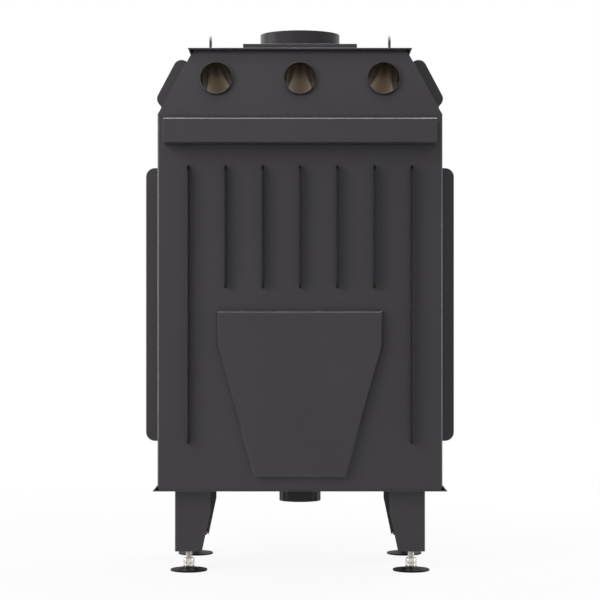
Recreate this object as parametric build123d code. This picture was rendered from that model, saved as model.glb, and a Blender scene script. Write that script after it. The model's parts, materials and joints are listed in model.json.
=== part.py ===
from build123d import *
import os
from math import cos, radians, sin, sqrt, tan

# Fireplace insert: a welded steel firebox with cooling fins, a smoke hood crossed by three
# air tubes, a glazed door, an ash drawer, an air slide and four levelling feet.
# Sizes are in millimetres. X runs to the right for someone facing the door, Y runs from the
# door to the rear wall, Z is up. The origin is on the floor, under the middle of the outline.

# Overall casing
body_width = 690.0
body_depth = 450.0
body_height = 908.0
leg_clearance = 49.0
leg_height = 150.0
wall_sheet = 4.0
base_sheet = 3.0
top_sheet = 4.0
bend_radius = 6.0
corner_return = 24.0
fit_gap = 0.5
seat_gap = 0.3
running_gap = 0.08
cut_over = 2.0

# Hood above the body, with its cover plate, flue riser and flue collar
hood_height = 160.0
hood_top_width = 520.0
hood_lean = 10.6
top_overhang = 16.0
top_side_overhang = 12.5
top_lip_angle = 20.7
riser_width = 280.0
riser_height = 18.0
riser_sheet = 4.0
collar_diameter = 200.0
collar_height = 39.0
collar_sheet = 3.0
flue_seat = 3.0
flue_shift = 8.0
lug_offset = 226.0
lug_width = 44.0
lug_height = 56.0
lug_sheet = 5.0
lug_hole = 20.0
lug_tip_flat = 2.0

# Air tubes through the hood
tube_diameter = 80.0
tube_sheet = 2.5
tube_pitch = 203.0
tube_slope = 6.0
tube_height = 89.0
tube_rear_stub = 12.0
tube_front_stub = 8.0

# Base plate and its folded edges
base_side_overhang = 12.0
base_rear_overhang = 2.0
base_lip_angle = 40.0

# Channel and fins on the outside
channel_width = 652.0
channel_height = 59.0
channel_reach = 80.0
channel_drop = 14.5
channel_sheet = 3.0
channel_bend = 4.0
fin_sheet = 4.0
fin_pitch = 90.0
fin_top_drop = 123.0
rear_fin_reach = 30.0
rear_fin_length = 672.0
rear_short_fin_length = 296.0
rear_fin_corner = 18.0
short_fins_each_side = 2
side_fin_reach = 34.0
side_fin_corner = 22.0
side_fin_first = 87.0
side_fin_count = 4
hood_fin_reach = 31.0
hood_fin_length = 126.0
hood_fin_start = 28.0
hood_fin_corner = 20.0

# Air duct cover on the rear wall and air inlet under the base
duct_top_width = 400.0
duct_bottom_width = 223.0
duct_height = 400.0
duct_shoulder = 86.0
duct_bottom_drop = 34.0
duct_reach = 24.0
duct_sheet = 3.0
duct_bevel = 5.0
duct_inlet_width = 160.0
duct_inlet_height = 24.0
nozzle_hole = 12.0
nozzle_pitch = 50.0
nozzle_count = 6
inlet_diameter = 102.0
inlet_sheet = 2.0
inlet_length = 28.0
inlet_setback = 72.0

# Legs and levelling feet
leg_side_inset = 40.0
leg_width = 86.0
leg_bottom_width = 66.0
leg_knee_drop = 55.0
leg_flange = 62.0
leg_sheet = 3.0
leg_bend = 5.0
rear_leg_inset = 35.0
front_leg_inset = 52.0
leg_tab_sheet = 5.0
leg_tab_lift = 4.0
foot_setback = 25.0
foot_diameter = 90.0
foot_rim = 4.0
foot_height = 8.0
foot_hub_diameter = 29.0
foot_cone_diameter = 62.0
stud_diameter = 16.0
stud_length = 77.0
hex_flats = 24.0
hex_head_height = 10.0
hex_turned_share = 0.99
hex_chamfer_share = 0.04
lock_nut_height = 13.0
bolt_diameter = 8.0
bolt_flats = 13.0
bolt_head_height = 5.3
bolt_nut_height = 6.5
bolt_pitch = 40.0
bolt_hole_gap = 0.5

# Front frame, door and latch
frame_sheet = 5.0
frame_side_overhang = 13.0
frame_top_overlap = 2.0
door_opening_width = 560.0
door_opening_height = 678.0
door_opening_low = 149.0
door_overlap = 30.0
door_border = 48.0
door_thickness = 26.0
door_gap = 4.0
door_corner = 5.0
glass_sheet = 4.0
glass_hold = 15.0
glass_bedding = 0.5
rebate_extra = 1.0
seal_width = 10.0
seal_groove = 6.0
seal_inset = 22.0
clip_length = 14.5
clip_width = 24.0
clip_sheet = 1.5
clip_spread = 0.5
hinge_offset = 12.0
hinge_inset = 110.0
pin_diameter = 10.0
knuckle_diameter = 20.0
knuckle_height = 46.0
hinge_lug_height = 12.0
hinge_lug_width = 20.0
knuckle_tab = 10.0
handle_length = 132.0
handle_standoff = 30.0
handle_bar_width = 18.0
handle_bar_depth = 13.0
handle_hub_diameter = 26.0
handle_round_share = 0.33
spindle_diameter = 10.0
cam_length = 38.0
cam_width = 14.0
cam_sheet = 6.0
cam_pocket_gap = 1.0
cam_round_share = 0.45
strike_width = 26.0
strike_height = 44.0
strike_sheet = 4.0
strike_lip = 17.0
strike_clearance = 0.6
strike_side_gap = 1.6

# Firebox inside
hearth_height = 116.0
hearth_sheet = 4.0
lining_sheet = 30.0
lining_height = 538.0
lining_front_gap = 25.0
brick_height = 26.0
grate_width = 240.0
grate_depth = 180.0
grate_height = 12.0
grate_setback = 70.0
grate_bearing = 10.0
grate_slot = 9.0
grate_bar = 11.0
grate_rim = 14.0
lower_baffle_sheet = 25.0
lower_baffle_front_gap = 130.0
lower_baffle_side_gap = 6.0
upper_baffle_sheet = 4.0
upper_baffle_rise = 140.0
upper_baffle_front_gap = 60.0
upper_baffle_rear_gap = 100.0
bracket_leg = 30.0
bracket_sheet = 3.0
airwash_depth = 24.0
airwash_drop = 50.0
airwash_rise = 34.0
airwash_sheet = 3.0
airwash_width = 600.0
guard_height = 46.0
guard_sheet = 5.0
guard_setback = 42.0
guard_end_gap = 4.0

# Air box, air slide, ash drawer
air_box_width = 400.0
air_box_depth = 150.0
air_box_sheet = 3.0
slot_width = 40.0
slot_height = 18.0
slot_pitch = 70.0
slot_count = 3
slot_rise = 48.0
slot_row_shift = -10.0
damper_height = 42.0
damper_left = 115.0
damper_right = 190.0
damper_sheet = 3.0
guide_lip = 5.0
guide_sheet = 4.0
slide_travel = 50.0
rod_diameter = 8.0
rod_offset = 182.0
rod_reach = 12.0
rod_slot_gap = 4.0
knob_diameter = 22.0
knob_length = 30.0
knob_bore_depth = 10.0
knob_round_share = 0.17
drawer_width = 286.0
drawer_depth = 270.0
drawer_height = 66.0
drawer_sheet = 2.0
drawer_rise = 24.0
drawer_opening_side = 7.0
drawer_opening_under = 2.0
drawer_opening_over = 8.0
drawer_front_overlap = 10.0
drawer_front_sheet = 4.0
drawer_knob_diameter = 24.0
drawer_knob_length = 26.0
rail_side_gap = 3.0
rail_foot = 22.0
rail_shelf = 18.0
rail_web = 34.0
rail_sheet = 3.0

# Levels
half_width = body_width / 2
z_base = leg_clearance + leg_height
z_walls = z_base + base_sheet
z_door_opening = z_base + door_opening_low
z_door_head = z_door_opening + door_opening_height
z_bend = z_walls + body_height
z_hood_top = z_bend + hood_height
z_top = z_hood_top + top_sheet
z_riser_top = z_top + riser_height
z_hearth = z_walls + hearth_height
z_hearth_top = z_hearth + hearth_sheet
z_lining_top = z_hearth_top + lining_height
z_drawer = z_walls + drawer_rise
z_slot = z_walls + slot_rise
z_tube_rear = z_bend + tube_height
z_fin_top = z_bend - fin_top_drop
z_duct_low = z_walls + duct_bottom_drop
z_duct_high = z_duct_low + duct_height

# Depths: the outline runs from the handle to the rear channel, and its middle is Y = 0
front_reach = frame_sheet + door_gap + door_thickness + seat_gap + handle_standoff + handle_bar_depth
y_rear = (body_depth + front_reach - channel_reach) / 2
y_front = y_rear - body_depth
y_frame = y_front - frame_sheet
y_door = y_frame - door_gap
y_door_front = y_door - door_thickness
y_inside_rear = y_rear - wall_sheet
x_inside = half_width - wall_sheet
lean = tan(radians(hood_lean))
hood_slope = (half_width - hood_top_width / 2) / hood_height
flue_y = (y_rear + y_front) / 2 + flue_shift
y_inlet = y_rear - inlet_setback
y_air_box = y_inside_rear - air_box_depth
y_damper = y_air_box - seat_gap

nodes = {}


def keep(name, *solids):
    """Store one node, made of one or more separate solids."""
    nodes[name] = solids[0] if len(solids) == 1 else Compound(children=list(solids))


def block(x, y, z):
    """Box between low and high values on each axis."""
    middle = Pos((x[0] + x[1]) / 2, (y[0] + y[1]) / 2, (z[0] + z[1]) / 2)
    return middle * Box(x[1] - x[0], y[1] - y[0], z[1] - z[0])


def rounded(points, rounds):
    """Flat outline through points, with a radius at some of them: {index: radius}."""
    shape = Polygon(*points, align=None)
    for index, radius in rounds.items():
        corner = shape.vertices().sort_by_distance(Vector(*points[index]))[0]
        shape = fillet(corner, radius)
    return shape


def prism_x(shape, x_low, x_high):
    """Extrude an outline drawn in Y and Z along X."""
    plane = Plane(origin=(x_low, 0, 0), x_dir=(0, 1, 0), z_dir=(1, 0, 0))
    return extrude(plane * shape, x_high - x_low, dir=(1, 0, 0))


def prism_y(shape, y_low, y_high):
    """Extrude an outline drawn in X and Z along Y."""
    plane = Plane(origin=(0, y_high, 0), x_dir=(1, 0, 0), z_dir=(0, -1, 0))
    return extrude(plane * shape, y_high - y_low, dir=(0, -1, 0))


def prism_z(shape, z_low, z_high):
    """Extrude an outline drawn in X and Y along Z."""
    return extrude(Plane(origin=(0, 0, z_low)) * shape, z_high - z_low, dir=(0, 0, 1))


def rod(start, direction, length, diameter):
    """Round bar from a start point along a direction."""
    return Solid.make_cylinder(diameter / 2, length, Plane(origin=start, z_dir=direction))


def upright(x, y, z_low, z_high, diameter):
    """Round bar standing along Z."""
    return rod((x, y, z_low), (0, 0, 1), z_high - z_low, diameter)


def hexagon(x, y, z_low, height, flats):
    """Hexagonal bar standing along Z, with its corners turned down a little."""
    across_corners = flats * 2 / sqrt(3)
    bar = prism_z(Pos(x, y) * RegularPolygon(across_corners / 2, 6), z_low, z_low + height)
    turned = upright(x, y, z_low, z_low + height, across_corners * hex_turned_share)
    turned = chamfer(turned.edges().filter_by(GeomType.CIRCLE), across_corners * hex_chamfer_share)
    return bar & turned


def mirrored(solid, plane=Plane.YZ):
    """Copy of a solid on the other side of a plane through the origin."""
    return mirror(solid, about=plane)


def pair(solid):
    """A solid and its mirror image in X."""
    return solid, mirrored(solid)


def hood_rear_y(z):
    """Y of the hood's rear face at a height."""
    return y_rear - (z - z_bend) * lean


def hood_front_y(z):
    """Y of the hood's front face at a height."""
    return y_front + (z - z_bend) * lean


def hood_side_x(z):
    """X of the hood's right face at a height."""
    return half_width - (z - z_bend) * hood_slope


# Casing
def make_rear_wall():
    """Rear wall, bent round both corners, with the air holes that the duct cover hides."""
    wall = block((-half_width, half_width), (y_rear - corner_return, y_rear), (z_walls, z_bend))
    wall = fillet(wall.edges().filter_by(Axis.Z).group_by(Axis.Y)[-1], bend_radius)
    room = block((-x_inside, x_inside),
                 (y_rear - corner_return - cut_over, y_inside_rear),
                 (z_walls - cut_over, z_bend + cut_over))
    room = fillet(room.edges().filter_by(Axis.Z).group_by(Axis.Y)[-1], bend_radius - wall_sheet)
    wall -= room
    for x in nozzle_row():
        wall -= rod((x, y_rear + cut_over, z_nozzle), (0, -1, 0), wall_sheet + 2 * cut_over, nozzle_hole)
    wall -= block((-duct_inlet_width / 2, duct_inlet_width / 2),
                  (y_inside_rear - cut_over, y_rear + cut_over),
                  (z_duct_inlet, z_duct_inlet + duct_inlet_height))
    keep("rear_wall", wall)


def make_side_walls():
    """Flat side walls between the rear wall's returns and the front frame."""
    wall = block((x_inside, half_width), (y_front, y_rear - corner_return), (z_walls, z_bend))
    right, left = pair(wall)
    keep("side_wall_right", right)
    keep("side_wall_left", left)


def make_base_plate():
    """Base plate with its long edges folded up and over, and the hole of the air inlet."""
    edge = half_width + base_side_overhang
    sin_lip, cos_lip = sin(radians(base_lip_angle)), cos(radians(base_lip_angle))
    inner_start_x = edge - base_sheet * cos_lip
    lip = (inner_start_x - half_width - seat_gap) / sin_lip
    outer_tip = (edge - lip * sin_lip, z_base + lip * cos_lip)
    inner_tip = (outer_tip[0] - base_sheet * cos_lip, outer_tip[1] - base_sheet * sin_lip)
    root_rise = (base_sheet + base_sheet * sin_lip) / cos_lip
    inner_root = (inner_start_x - root_rise * sin_lip, z_walls)
    right = [(edge, z_base), outer_tip, inner_tip, inner_root]
    left = [(-x, z) for x, z in reversed(right)]
    plate = prism_y(Polygon(*right, *left, align=None), y_front, y_rear + base_rear_overhang)
    inlet_bore = inlet_diameter - 2 * inlet_sheet
    plate -= upright(0, y_inlet, z_base - cut_over, z_walls + cut_over, inlet_bore)
    for x, y in leg_bolt_places():
        plate -= upright(x, y, z_base - cut_over, z_walls + cut_over, bolt_diameter + 2 * bolt_hole_gap)
    keep("base_plate", plate)


def make_hood():
    """Four leaning hood panels, with the holes of the air tubes in the rear and front ones."""
    top_half = hood_top_width / 2
    side_outline = [(-half_width, z_bend), (half_width, z_bend),
                    (top_half, z_hood_top), (-top_half, z_hood_top)]
    end_outline = [(y_front, z_bend), (y_rear, z_bend),
                   (hood_rear_y(z_hood_top), z_hood_top), (hood_front_y(z_hood_top), z_hood_top)]
    across = wall_sheet / cos(radians(hood_lean))
    sideways = wall_sheet * sqrt(1 + hood_slope ** 2)
    inner_side = [(x - sideways if x > 0 else x + sideways, z) for x, z in side_outline]
    inner_end = [(y - across if y > flue_y else y + across, z) for y, z in end_outline]
    outside_x = prism_y(Polygon(*side_outline, align=None), y_front, y_rear)
    outside_y = prism_x(Polygon(*end_outline, align=None), -half_width, half_width)
    inside_x = prism_y(Polygon(*inner_side, align=None), y_front, y_rear)
    inside_y = prism_x(Polygon(*inner_end, align=None), -half_width, half_width)
    ends = (outside_x & outside_y) - inside_y
    sides = (outside_x & inside_y) - inside_x
    front, rear = ends.solids().sort_by(Axis.Y)
    left, right = sides.solids().sort_by(Axis.X)
    for x in tube_row():
        start, direction, length = tube_line(x)
        bore = rod(start, direction, length, tube_diameter + 2 * seat_gap)
        front -= bore
        rear -= bore
    keep("hood_rear_panel", rear)
    keep("hood_front_panel", front)
    keep("hood_side_left", left)
    keep("hood_side_right", right)


def make_top_plate():
    """Cover plate of the hood, its side edges folded down against the hood, with the flue hole."""
    edge = hood_top_width / 2 + top_side_overhang
    sin_lip, cos_lip = sin(radians(top_lip_angle)), cos(radians(top_lip_angle))
    inner_x = edge - top_sheet * cos_lip
    inner_z = z_top + top_sheet * sin_lip
    reach = inner_x - seat_gap - hood_side_x(inner_z)
    lip = reach / (sin_lip + hood_slope * cos_lip)
    outer_tip = (edge - lip * sin_lip, z_top - lip * cos_lip)
    inner_tip = (outer_tip[0] - top_sheet * cos_lip, outer_tip[1] + top_sheet * sin_lip)
    root_fall = (top_sheet + top_sheet * sin_lip) / cos_lip
    inner_root = (inner_x - root_fall * sin_lip, z_hood_top)
    right = [(edge, z_top), outer_tip, inner_tip, inner_root]
    left = [(-x, z) for x, z in reversed(right)]
    plate = prism_y(Polygon(*right, *left, align=None),
                    hood_front_y(z_hood_top) - top_overhang, hood_rear_y(z_hood_top) + top_overhang)
    plate -= upright(0, flue_y, z_hood_top - cut_over, z_top + cut_over, flue_bore)
    keep("top_plate", plate)


def make_flue():
    """Square riser on the cover plate and the round collar that takes the flue pipe."""
    half = riser_width / 2
    riser = block((-half, half), (flue_y - half, flue_y + half), (z_top, z_riser_top))
    inner = half - riser_sheet
    riser -= block((-inner, inner), (flue_y - inner, flue_y + inner),
                   (z_top - cut_over, z_riser_top - riser_sheet))
    riser -= upright(0, flue_y, z_top, z_riser_top + cut_over, flue_bore - 2 * flue_seat)
    keep("flue_riser", riser)
    z_collar_top = z_riser_top + collar_height
    collar = upright(0, flue_y, z_riser_top, z_collar_top, collar_diameter)
    collar -= upright(0, flue_y, z_riser_top - cut_over, z_collar_top + cut_over, flue_bore)
    keep("flue_collar", collar)


def make_lifting_lugs():
    """Two upright plates with a hole each, by which the insert is lifted."""
    radius = lug_width / 2
    points = [(flue_y - radius, z_top), (flue_y + radius, z_top),
              (flue_y + radius, z_top + lug_height), (flue_y - radius, z_top + lug_height)]
    corner = radius - lug_tip_flat / 2
    shape = rounded(points, {2: corner, 3: corner})
    lug = prism_x(shape, lug_offset - lug_sheet / 2, lug_offset + lug_sheet / 2)
    z_hole = z_top + lug_height - radius
    lug -= rod((lug_offset - lug_sheet, flue_y, z_hole), (1, 0, 0), 2 * lug_sheet, lug_hole)
    keep("lifting_lugs", *pair(lug))


def tube_row():
    """X of the three air tubes, from left to right."""
    return [-tube_pitch, 0.0, tube_pitch]


def tube_line(x):
    """Start, direction and length of an air tube, from behind the hood to its front."""
    down, along = sin(radians(tube_slope)), cos(radians(tube_slope))
    y_start = hood_rear_y(z_tube_rear)
    run = (y_start - hood_front_y(z_tube_rear)) / (along - down * lean)
    start = (x, y_start + tube_rear_stub * along, z_tube_rear + tube_rear_stub * down)
    return start, (0, -along, -down), run + tube_rear_stub + tube_front_stub


def make_tubes():
    """Three air tubes that cross the hood."""
    for name, x in zip(("left", "centre", "right"), tube_row()):
        start, direction, length = tube_line(x)
        tube = rod(start, direction, length, tube_diameter)
        tube -= rod(start, direction, length, tube_diameter - 2 * tube_sheet)
        keep("air_tube_" + name, tube)


# Outside of the casing
def make_channel():
    """Folded channel across the rear wall, closed at its ends."""
    z_high = z_bend - channel_drop
    z_low = z_high - channel_height
    y_face = y_rear + channel_reach
    points = [(y_rear, z_low), (y_face, z_low), (y_face, z_high), (y_rear, z_high)]
    shape = rounded(points, {1: channel_bend, 2: channel_bend})
    channel = prism_x(shape, -channel_width / 2, channel_width / 2)
    channel -= block((-channel_width / 2 + channel_sheet, channel_width / 2 - channel_sheet),
                     (y_rear - cut_over, y_face - channel_sheet),
                     (z_low + channel_sheet, z_high - channel_sheet))
    keep("cross_channel", channel)


def rear_fin(x, length):
    """One upright fin on the rear wall."""
    z_low = z_fin_top - length
    y_edge = y_rear + rear_fin_reach
    points = [(y_rear, z_low), (y_edge, z_low), (y_edge, z_fin_top), (y_rear, z_fin_top)]
    shape = rounded(points, {1: rear_fin_corner, 2: rear_fin_corner})
    return prism_x(shape, x - fin_sheet / 2, x + fin_sheet / 2)


def make_rear_fins():
    """A long fin at each side of the rear wall and short ones between them."""
    fins = []
    for step in range(-short_fins_each_side, short_fins_each_side + 1):
        fins.append(rear_fin(step * fin_pitch, rear_short_fin_length))
    for side in (-1, 1):
        fins.append(rear_fin(side * (short_fins_each_side + 1) * fin_pitch, rear_fin_length))
    keep("rear_fins", *fins)


def side_fin_row():
    """Y of the fins along each side, from the rear one forwards."""
    return [y_rear - side_fin_first - step * fin_pitch for step in range(side_fin_count)]


def make_side_fins():
    """Rows of upright fins on both side walls."""
    z_low = z_fin_top - rear_fin_length
    x_edge = half_width + side_fin_reach
    points = [(half_width, z_low), (x_edge, z_low), (x_edge, z_fin_top), (half_width, z_fin_top)]
    shape = rounded(points, {1: side_fin_corner, 2: side_fin_corner})
    fins = [prism_y(shape, y - fin_sheet / 2, y + fin_sheet / 2) for y in side_fin_row()]
    keep("side_fins", *fins, *[mirrored(fin) for fin in fins])


def make_hood_fins():
    """Fins square to the leaning hood sides, in line with those of the side walls."""
    sin_side = hood_slope / sqrt(1 + hood_slope ** 2)
    cos_side = 1 / sqrt(1 + hood_slope ** 2)

    def place(along, out):
        return (half_width - along * sin_side + out * cos_side, z_bend + along * cos_side + out * sin_side)

    end = hood_fin_start + hood_fin_length
    points = [place(hood_fin_start, 0), place(hood_fin_start, hood_fin_reach),
              place(end, hood_fin_reach), place(end, 0)]
    shape = rounded(points, {1: hood_fin_corner, 2: hood_fin_corner})
    fins = [prism_y(shape, y - fin_sheet / 2, y + fin_sheet / 2) for y in side_fin_row()]
    keep("hood_fins", *fins, *[mirrored(fin) for fin in fins])


# Air supply
z_duct_inlet = z_duct_low + 2 * duct_sheet + duct_bevel
z_nozzle = z_duct_high - duct_inlet_height
flue_bore = collar_diameter - 2 * collar_sheet


def nozzle_row():
    """X of the air holes through the rear wall and the lining behind the fire."""
    middle = (nozzle_count - 1) / 2
    return [(step - middle) * nozzle_pitch for step in range(nozzle_count)]


def duct_outline(inset):
    """Outline of the duct cover, drawn in by an inset."""
    top, bottom = duct_top_width / 2 - inset, duct_bottom_width / 2 - inset
    shoulder = z_duct_high - duct_shoulder
    return [(-bottom, z_duct_low + inset), (bottom, z_duct_low + inset), (top, shoulder),
            (top, z_duct_high - inset), (-top, z_duct_high - inset), (-top, shoulder)]


def make_duct_cover():
    """Pan-shaped cover that carries air up the rear wall to the holes above the fire."""
    cover = prism_y(Polygon(*duct_outline(0), align=None), y_rear, y_rear + duct_reach)
    cover = chamfer(cover.faces().sort_by(Axis.Y)[-1].edges(), duct_bevel)
    cover -= prism_y(Polygon(*duct_outline(duct_sheet + duct_bevel / 2), align=None),
                     y_rear - cut_over, y_rear + duct_reach - duct_sheet)
    keep("rear_duct_cover", cover)


def make_inlet():
    """Round spigot under the base for the outside air duct."""
    spigot = upright(0, y_inlet, z_base - inlet_length, z_base, inlet_diameter)
    spigot -= upright(0, y_inlet, z_base - inlet_length - cut_over, z_base + cut_over,
                      inlet_diameter - 2 * inlet_sheet)
    keep("air_inlet_spigot", spigot)


def slot_row():
    """X of the air slots in the air box."""
    middle = (slot_count - 1) / 2
    return [slot_row_shift + (step - middle) * slot_pitch for step in range(slot_count)]


def make_air_box():
    """Air box under the hearth: a folded wall round the inlet, with slots and slide guides."""
    half = air_box_width / 2
    box = block((-half, half), (y_air_box, y_inside_rear), (z_walls, z_hearth))
    box -= block((-half + air_box_sheet, half - air_box_sheet),
                 (y_air_box + air_box_sheet, y_inside_rear + cut_over),
                 (z_walls - cut_over, z_hearth + cut_over))
    for x in slot_row():
        box -= block((x - slot_width / 2, x + slot_width / 2),
                     (y_air_box - cut_over, y_air_box + air_box_sheet + cut_over),
                     (z_slot - slot_height / 2, z_slot + slot_height / 2))
    y_lip = y_damper - damper_sheet - seat_gap
    z_edge = damper_height / 2 + seat_gap
    z_low, z_rest = z_slot - z_edge - guide_sheet, z_slot - z_edge
    guide = [(y_air_box, z_low), (y_air_box, z_rest), (y_lip, z_rest), (y_lip, z_rest + guide_lip),
             (y_lip - damper_sheet, z_rest + guide_lip), (y_lip - damper_sheet, z_low)]
    upper = [(y, 2 * z_slot - z) for y, z in guide]
    for points in (guide, upper):
        box += prism_x(Polygon(*points, align=None), -half, half)
    keep("air_box", box)


def make_air_slide():
    """Sliding damper over the air slots, with its pull rod and knob."""
    damper = block((-damper_left, damper_right), (y_damper - damper_sheet, y_damper),
                   (z_slot - damper_height / 2, z_slot + damper_height / 2))
    for x in slot_row():
        damper -= block((x - slide_travel - slot_width / 2, x - slide_travel + slot_width / 2),
                        (y_damper - damper_sheet - cut_over, y_damper + cut_over),
                        (z_slot - slot_height / 2, z_slot + slot_height / 2))
    keep("air_damper", damper)
    y_start = y_damper - damper_sheet
    y_end = y_frame - rod_reach - knob_bore_depth
    keep("air_lever_rod", rod((rod_offset, y_start, z_slot), (0, -1, 0), y_start - y_end, rod_diameter))
    y_knob = y_frame - rod_reach
    knob = rod((rod_offset, y_knob, z_slot), (0, -1, 0), knob_length, knob_diameter)
    knob = fillet(knob.edges().filter_by(GeomType.CIRCLE), knob_diameter * knob_round_share)
    y_bore = y_knob + cut_over
    knob -= rod((rod_offset, y_bore, z_slot), (0, -1, 0), knob_bore_depth + cut_over, rod_diameter)
    keep("air_lever_knob", knob)


# Legs and feet
def leg_places():
    """Name, side in X, Y of the leg's outer face and direction of its flange for each leg."""
    y_fore, y_aft = y_front + front_leg_inset, y_rear - rear_leg_inset
    return [("front_left", -1, y_fore, 1), ("front_right", 1, y_fore, 1),
            ("rear_left", -1, y_aft, -1), ("rear_right", 1, y_aft, -1)]


def foot_place(side, y_face, inward):
    """X and Y of a levelling foot."""
    return side * (half_width - leg_side_inset - leg_bottom_width / 2), y_face + inward * foot_setback


def leg_bolt_places():
    """X and Y of the bolts that hold the legs to the base plate."""
    places = []
    for _, side, y_face, inward in leg_places():
        x_middle = half_width - leg_side_inset - leg_width / 2
        for step in (-0.5, 0.5):
            places.append((side * (x_middle + step * bolt_pitch), y_face + inward * leg_flange / 2))
    return places


def leg(side, y_face, inward):
    """One bent leg with its bolting flange and the tab that holds the foot's stud."""
    x_out = half_width - leg_side_inset
    x_in = x_out - leg_width
    x_low = x_out - leg_bottom_width
    depth = (0, leg_flange) if inward > 0 else (-leg_flange, 0)
    y_span = (y_face + depth[0], y_face + depth[1])
    room = (leg_sheet, leg_flange + cut_over) if inward > 0 else (-leg_flange - cut_over, -leg_sheet)
    z_low = leg_clearance
    angle = block((x_in, x_out), y_span, (z_low, z_base))
    outer_edge = angle.edges().filter_by(Axis.Z).sort_by_distance(Vector(x_out, y_face, z_low))[0]
    angle = fillet(outer_edge, leg_bend)
    hollow = block((x_in - cut_over, x_out - leg_sheet), (y_face + room[0], y_face + room[1]),
                   (z_low - cut_over, z_base - leg_sheet))
    inner_edge = hollow.edges().filter_by(Axis.Z).sort_by_distance(Vector(x_out, y_face, z_low))[0]
    hollow = fillet(inner_edge, leg_bend - leg_sheet)
    angle -= hollow
    taper = [(x_in - cut_over, z_base - leg_knee_drop), (x_in, z_base - leg_knee_drop), (x_low, z_low),
             (x_low, z_low - cut_over), (x_in - cut_over, z_low - cut_over)]
    angle -= prism_y(Polygon(*taper, align=None), y_span[0] - cut_over, y_span[1] + cut_over)
    z_tab = leg_clearance + leg_tab_lift
    tab_depth = sorted((y_face + inward * leg_sheet, y_face + inward * leg_flange))
    tab = block((x_low + leg_sheet, x_out - leg_sheet), tab_depth, (z_tab, z_tab + leg_tab_sheet))
    tab -= hollow_corner(x_out, y_face, inward, z_tab)
    angle += tab
    x_foot, y_foot = foot_place(1, y_face, inward)
    angle -= upright(x_foot, y_foot, z_tab - cut_over, z_tab + leg_tab_sheet + cut_over,
                     stud_diameter + 2 * running_gap)
    for step in (-0.5, 0.5):
        angle -= upright(x_out - leg_width / 2 + step * bolt_pitch, y_face + inward * leg_flange / 2,
                         z_base - leg_sheet - cut_over, z_base + cut_over, bolt_diameter + 2 * bolt_hole_gap)
    return angle if side > 0 else mirrored(angle)


def hollow_corner(x_out, y_face, inward, z_tab):
    """Small relief where the tab would fill the leg's rounded inner corner."""
    reach = leg_bend - leg_sheet
    y_low, y_high = sorted((y_face + inward * leg_sheet, y_face + inward * (leg_sheet + reach)))
    return block((x_out - leg_sheet - reach, x_out - leg_sheet + cut_over), (y_low, y_high),
                 (z_tab - cut_over, z_tab + leg_tab_sheet + cut_over))


def make_legs():
    """Four legs as a rear and a front pair, and the bolts that hold them."""
    legs = {name: leg(side, y_face, inward) for name, side, y_face, inward in leg_places()}
    keep("rear_legs", legs["rear_left"], legs["rear_right"])
    keep("front_legs", legs["front_left"], legs["front_right"])
    bolts = []
    z_flange = z_base - leg_sheet
    for x, y in leg_bolt_places():
        bolt = hexagon(x, y, z_flange - bolt_head_height, bolt_head_height, bolt_flats)
        bolt += upright(x, y, z_flange, z_walls + bolt_nut_height, bolt_diameter)
        nut = hexagon(x, y, z_walls, bolt_nut_height, bolt_flats)
        nut -= upright(x, y, z_walls - cut_over, z_walls + bolt_nut_height + cut_over, bolt_diameter)
        bolts += [bolt, nut]
    keep("leg_bolts", *bolts)


def make_feet():
    """Levelling feet: a round pad, and a studded hexagon with its lock nut."""
    for name, side, y_face, inward in leg_places():
        x, y = foot_place(side, y_face, inward)
        pad = upright(x, y, 0, foot_rim, foot_diameter)
        pad += Pos(x, y, (foot_rim + foot_height) / 2) * Cone(foot_cone_diameter / 2, foot_hub_diameter / 2,
                                                              foot_height - foot_rim)
        keep("foot_pad_" + name, pad)
        z_nut = foot_height + hex_head_height
        stud = hexagon(x, y, foot_height, hex_head_height, hex_flats)
        stud += upright(x, y, z_nut, foot_height + stud_length, stud_diameter)
        nut = hexagon(x, y, z_nut, lock_nut_height, hex_flats)
        nut -= upright(x, y, z_nut - cut_over, z_nut + lock_nut_height + cut_over, stud_diameter)
        keep("foot_stud_" + name, stud, nut)


# Front: frame, door, hinges and latch
door_half = door_opening_width / 2 + door_overlap
z_leaf_low = z_door_opening - door_overlap
z_leaf_high = z_door_head + door_overlap
window_half = door_half - door_border
z_window_low = z_leaf_low + door_border
z_window_high = z_leaf_high - door_border
x_hinge = -(door_half + hinge_offset)
y_hinge = y_door - door_thickness / 2
x_latch = door_half - door_border / 2
z_latch = (z_leaf_low + z_leaf_high) / 2
y_glass = y_door - glass_sheet - rebate_extra


def make_front_frame():
    """Front plate with the door opening, the ash drawer opening and the slot of the air lever."""
    half = half_width + frame_side_overhang
    frame = block((-half, half), (y_frame, y_front), (z_base, z_bend + frame_top_overlap))
    through = (y_frame - cut_over, y_front + cut_over)
    frame -= block((-door_opening_width / 2, door_opening_width / 2), through,
                   (z_door_opening, z_door_head))
    frame -= block((-drawer_width / 2 - drawer_opening_side, drawer_width / 2 + drawer_opening_side), through,
                   (z_drawer - drawer_opening_under, z_drawer + drawer_height + drawer_opening_over))
    slot = rod_diameter / 2 + rod_slot_gap
    x_slot = (rod_offset - slot, rod_offset + slide_travel + slot)
    frame -= block(x_slot, through, (z_slot - slot, z_slot + slot))
    keep("front_frame", frame)


def ring(half_out, z_out, half_in, z_in, y):
    """Rectangular ring; z_out and z_in are pairs of low and high levels."""
    outer = block((-half_out, half_out), y, z_out)
    return outer - block((-half_in, half_in), (y[0] - cut_over, y[1] + cut_over), z_in)


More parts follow.
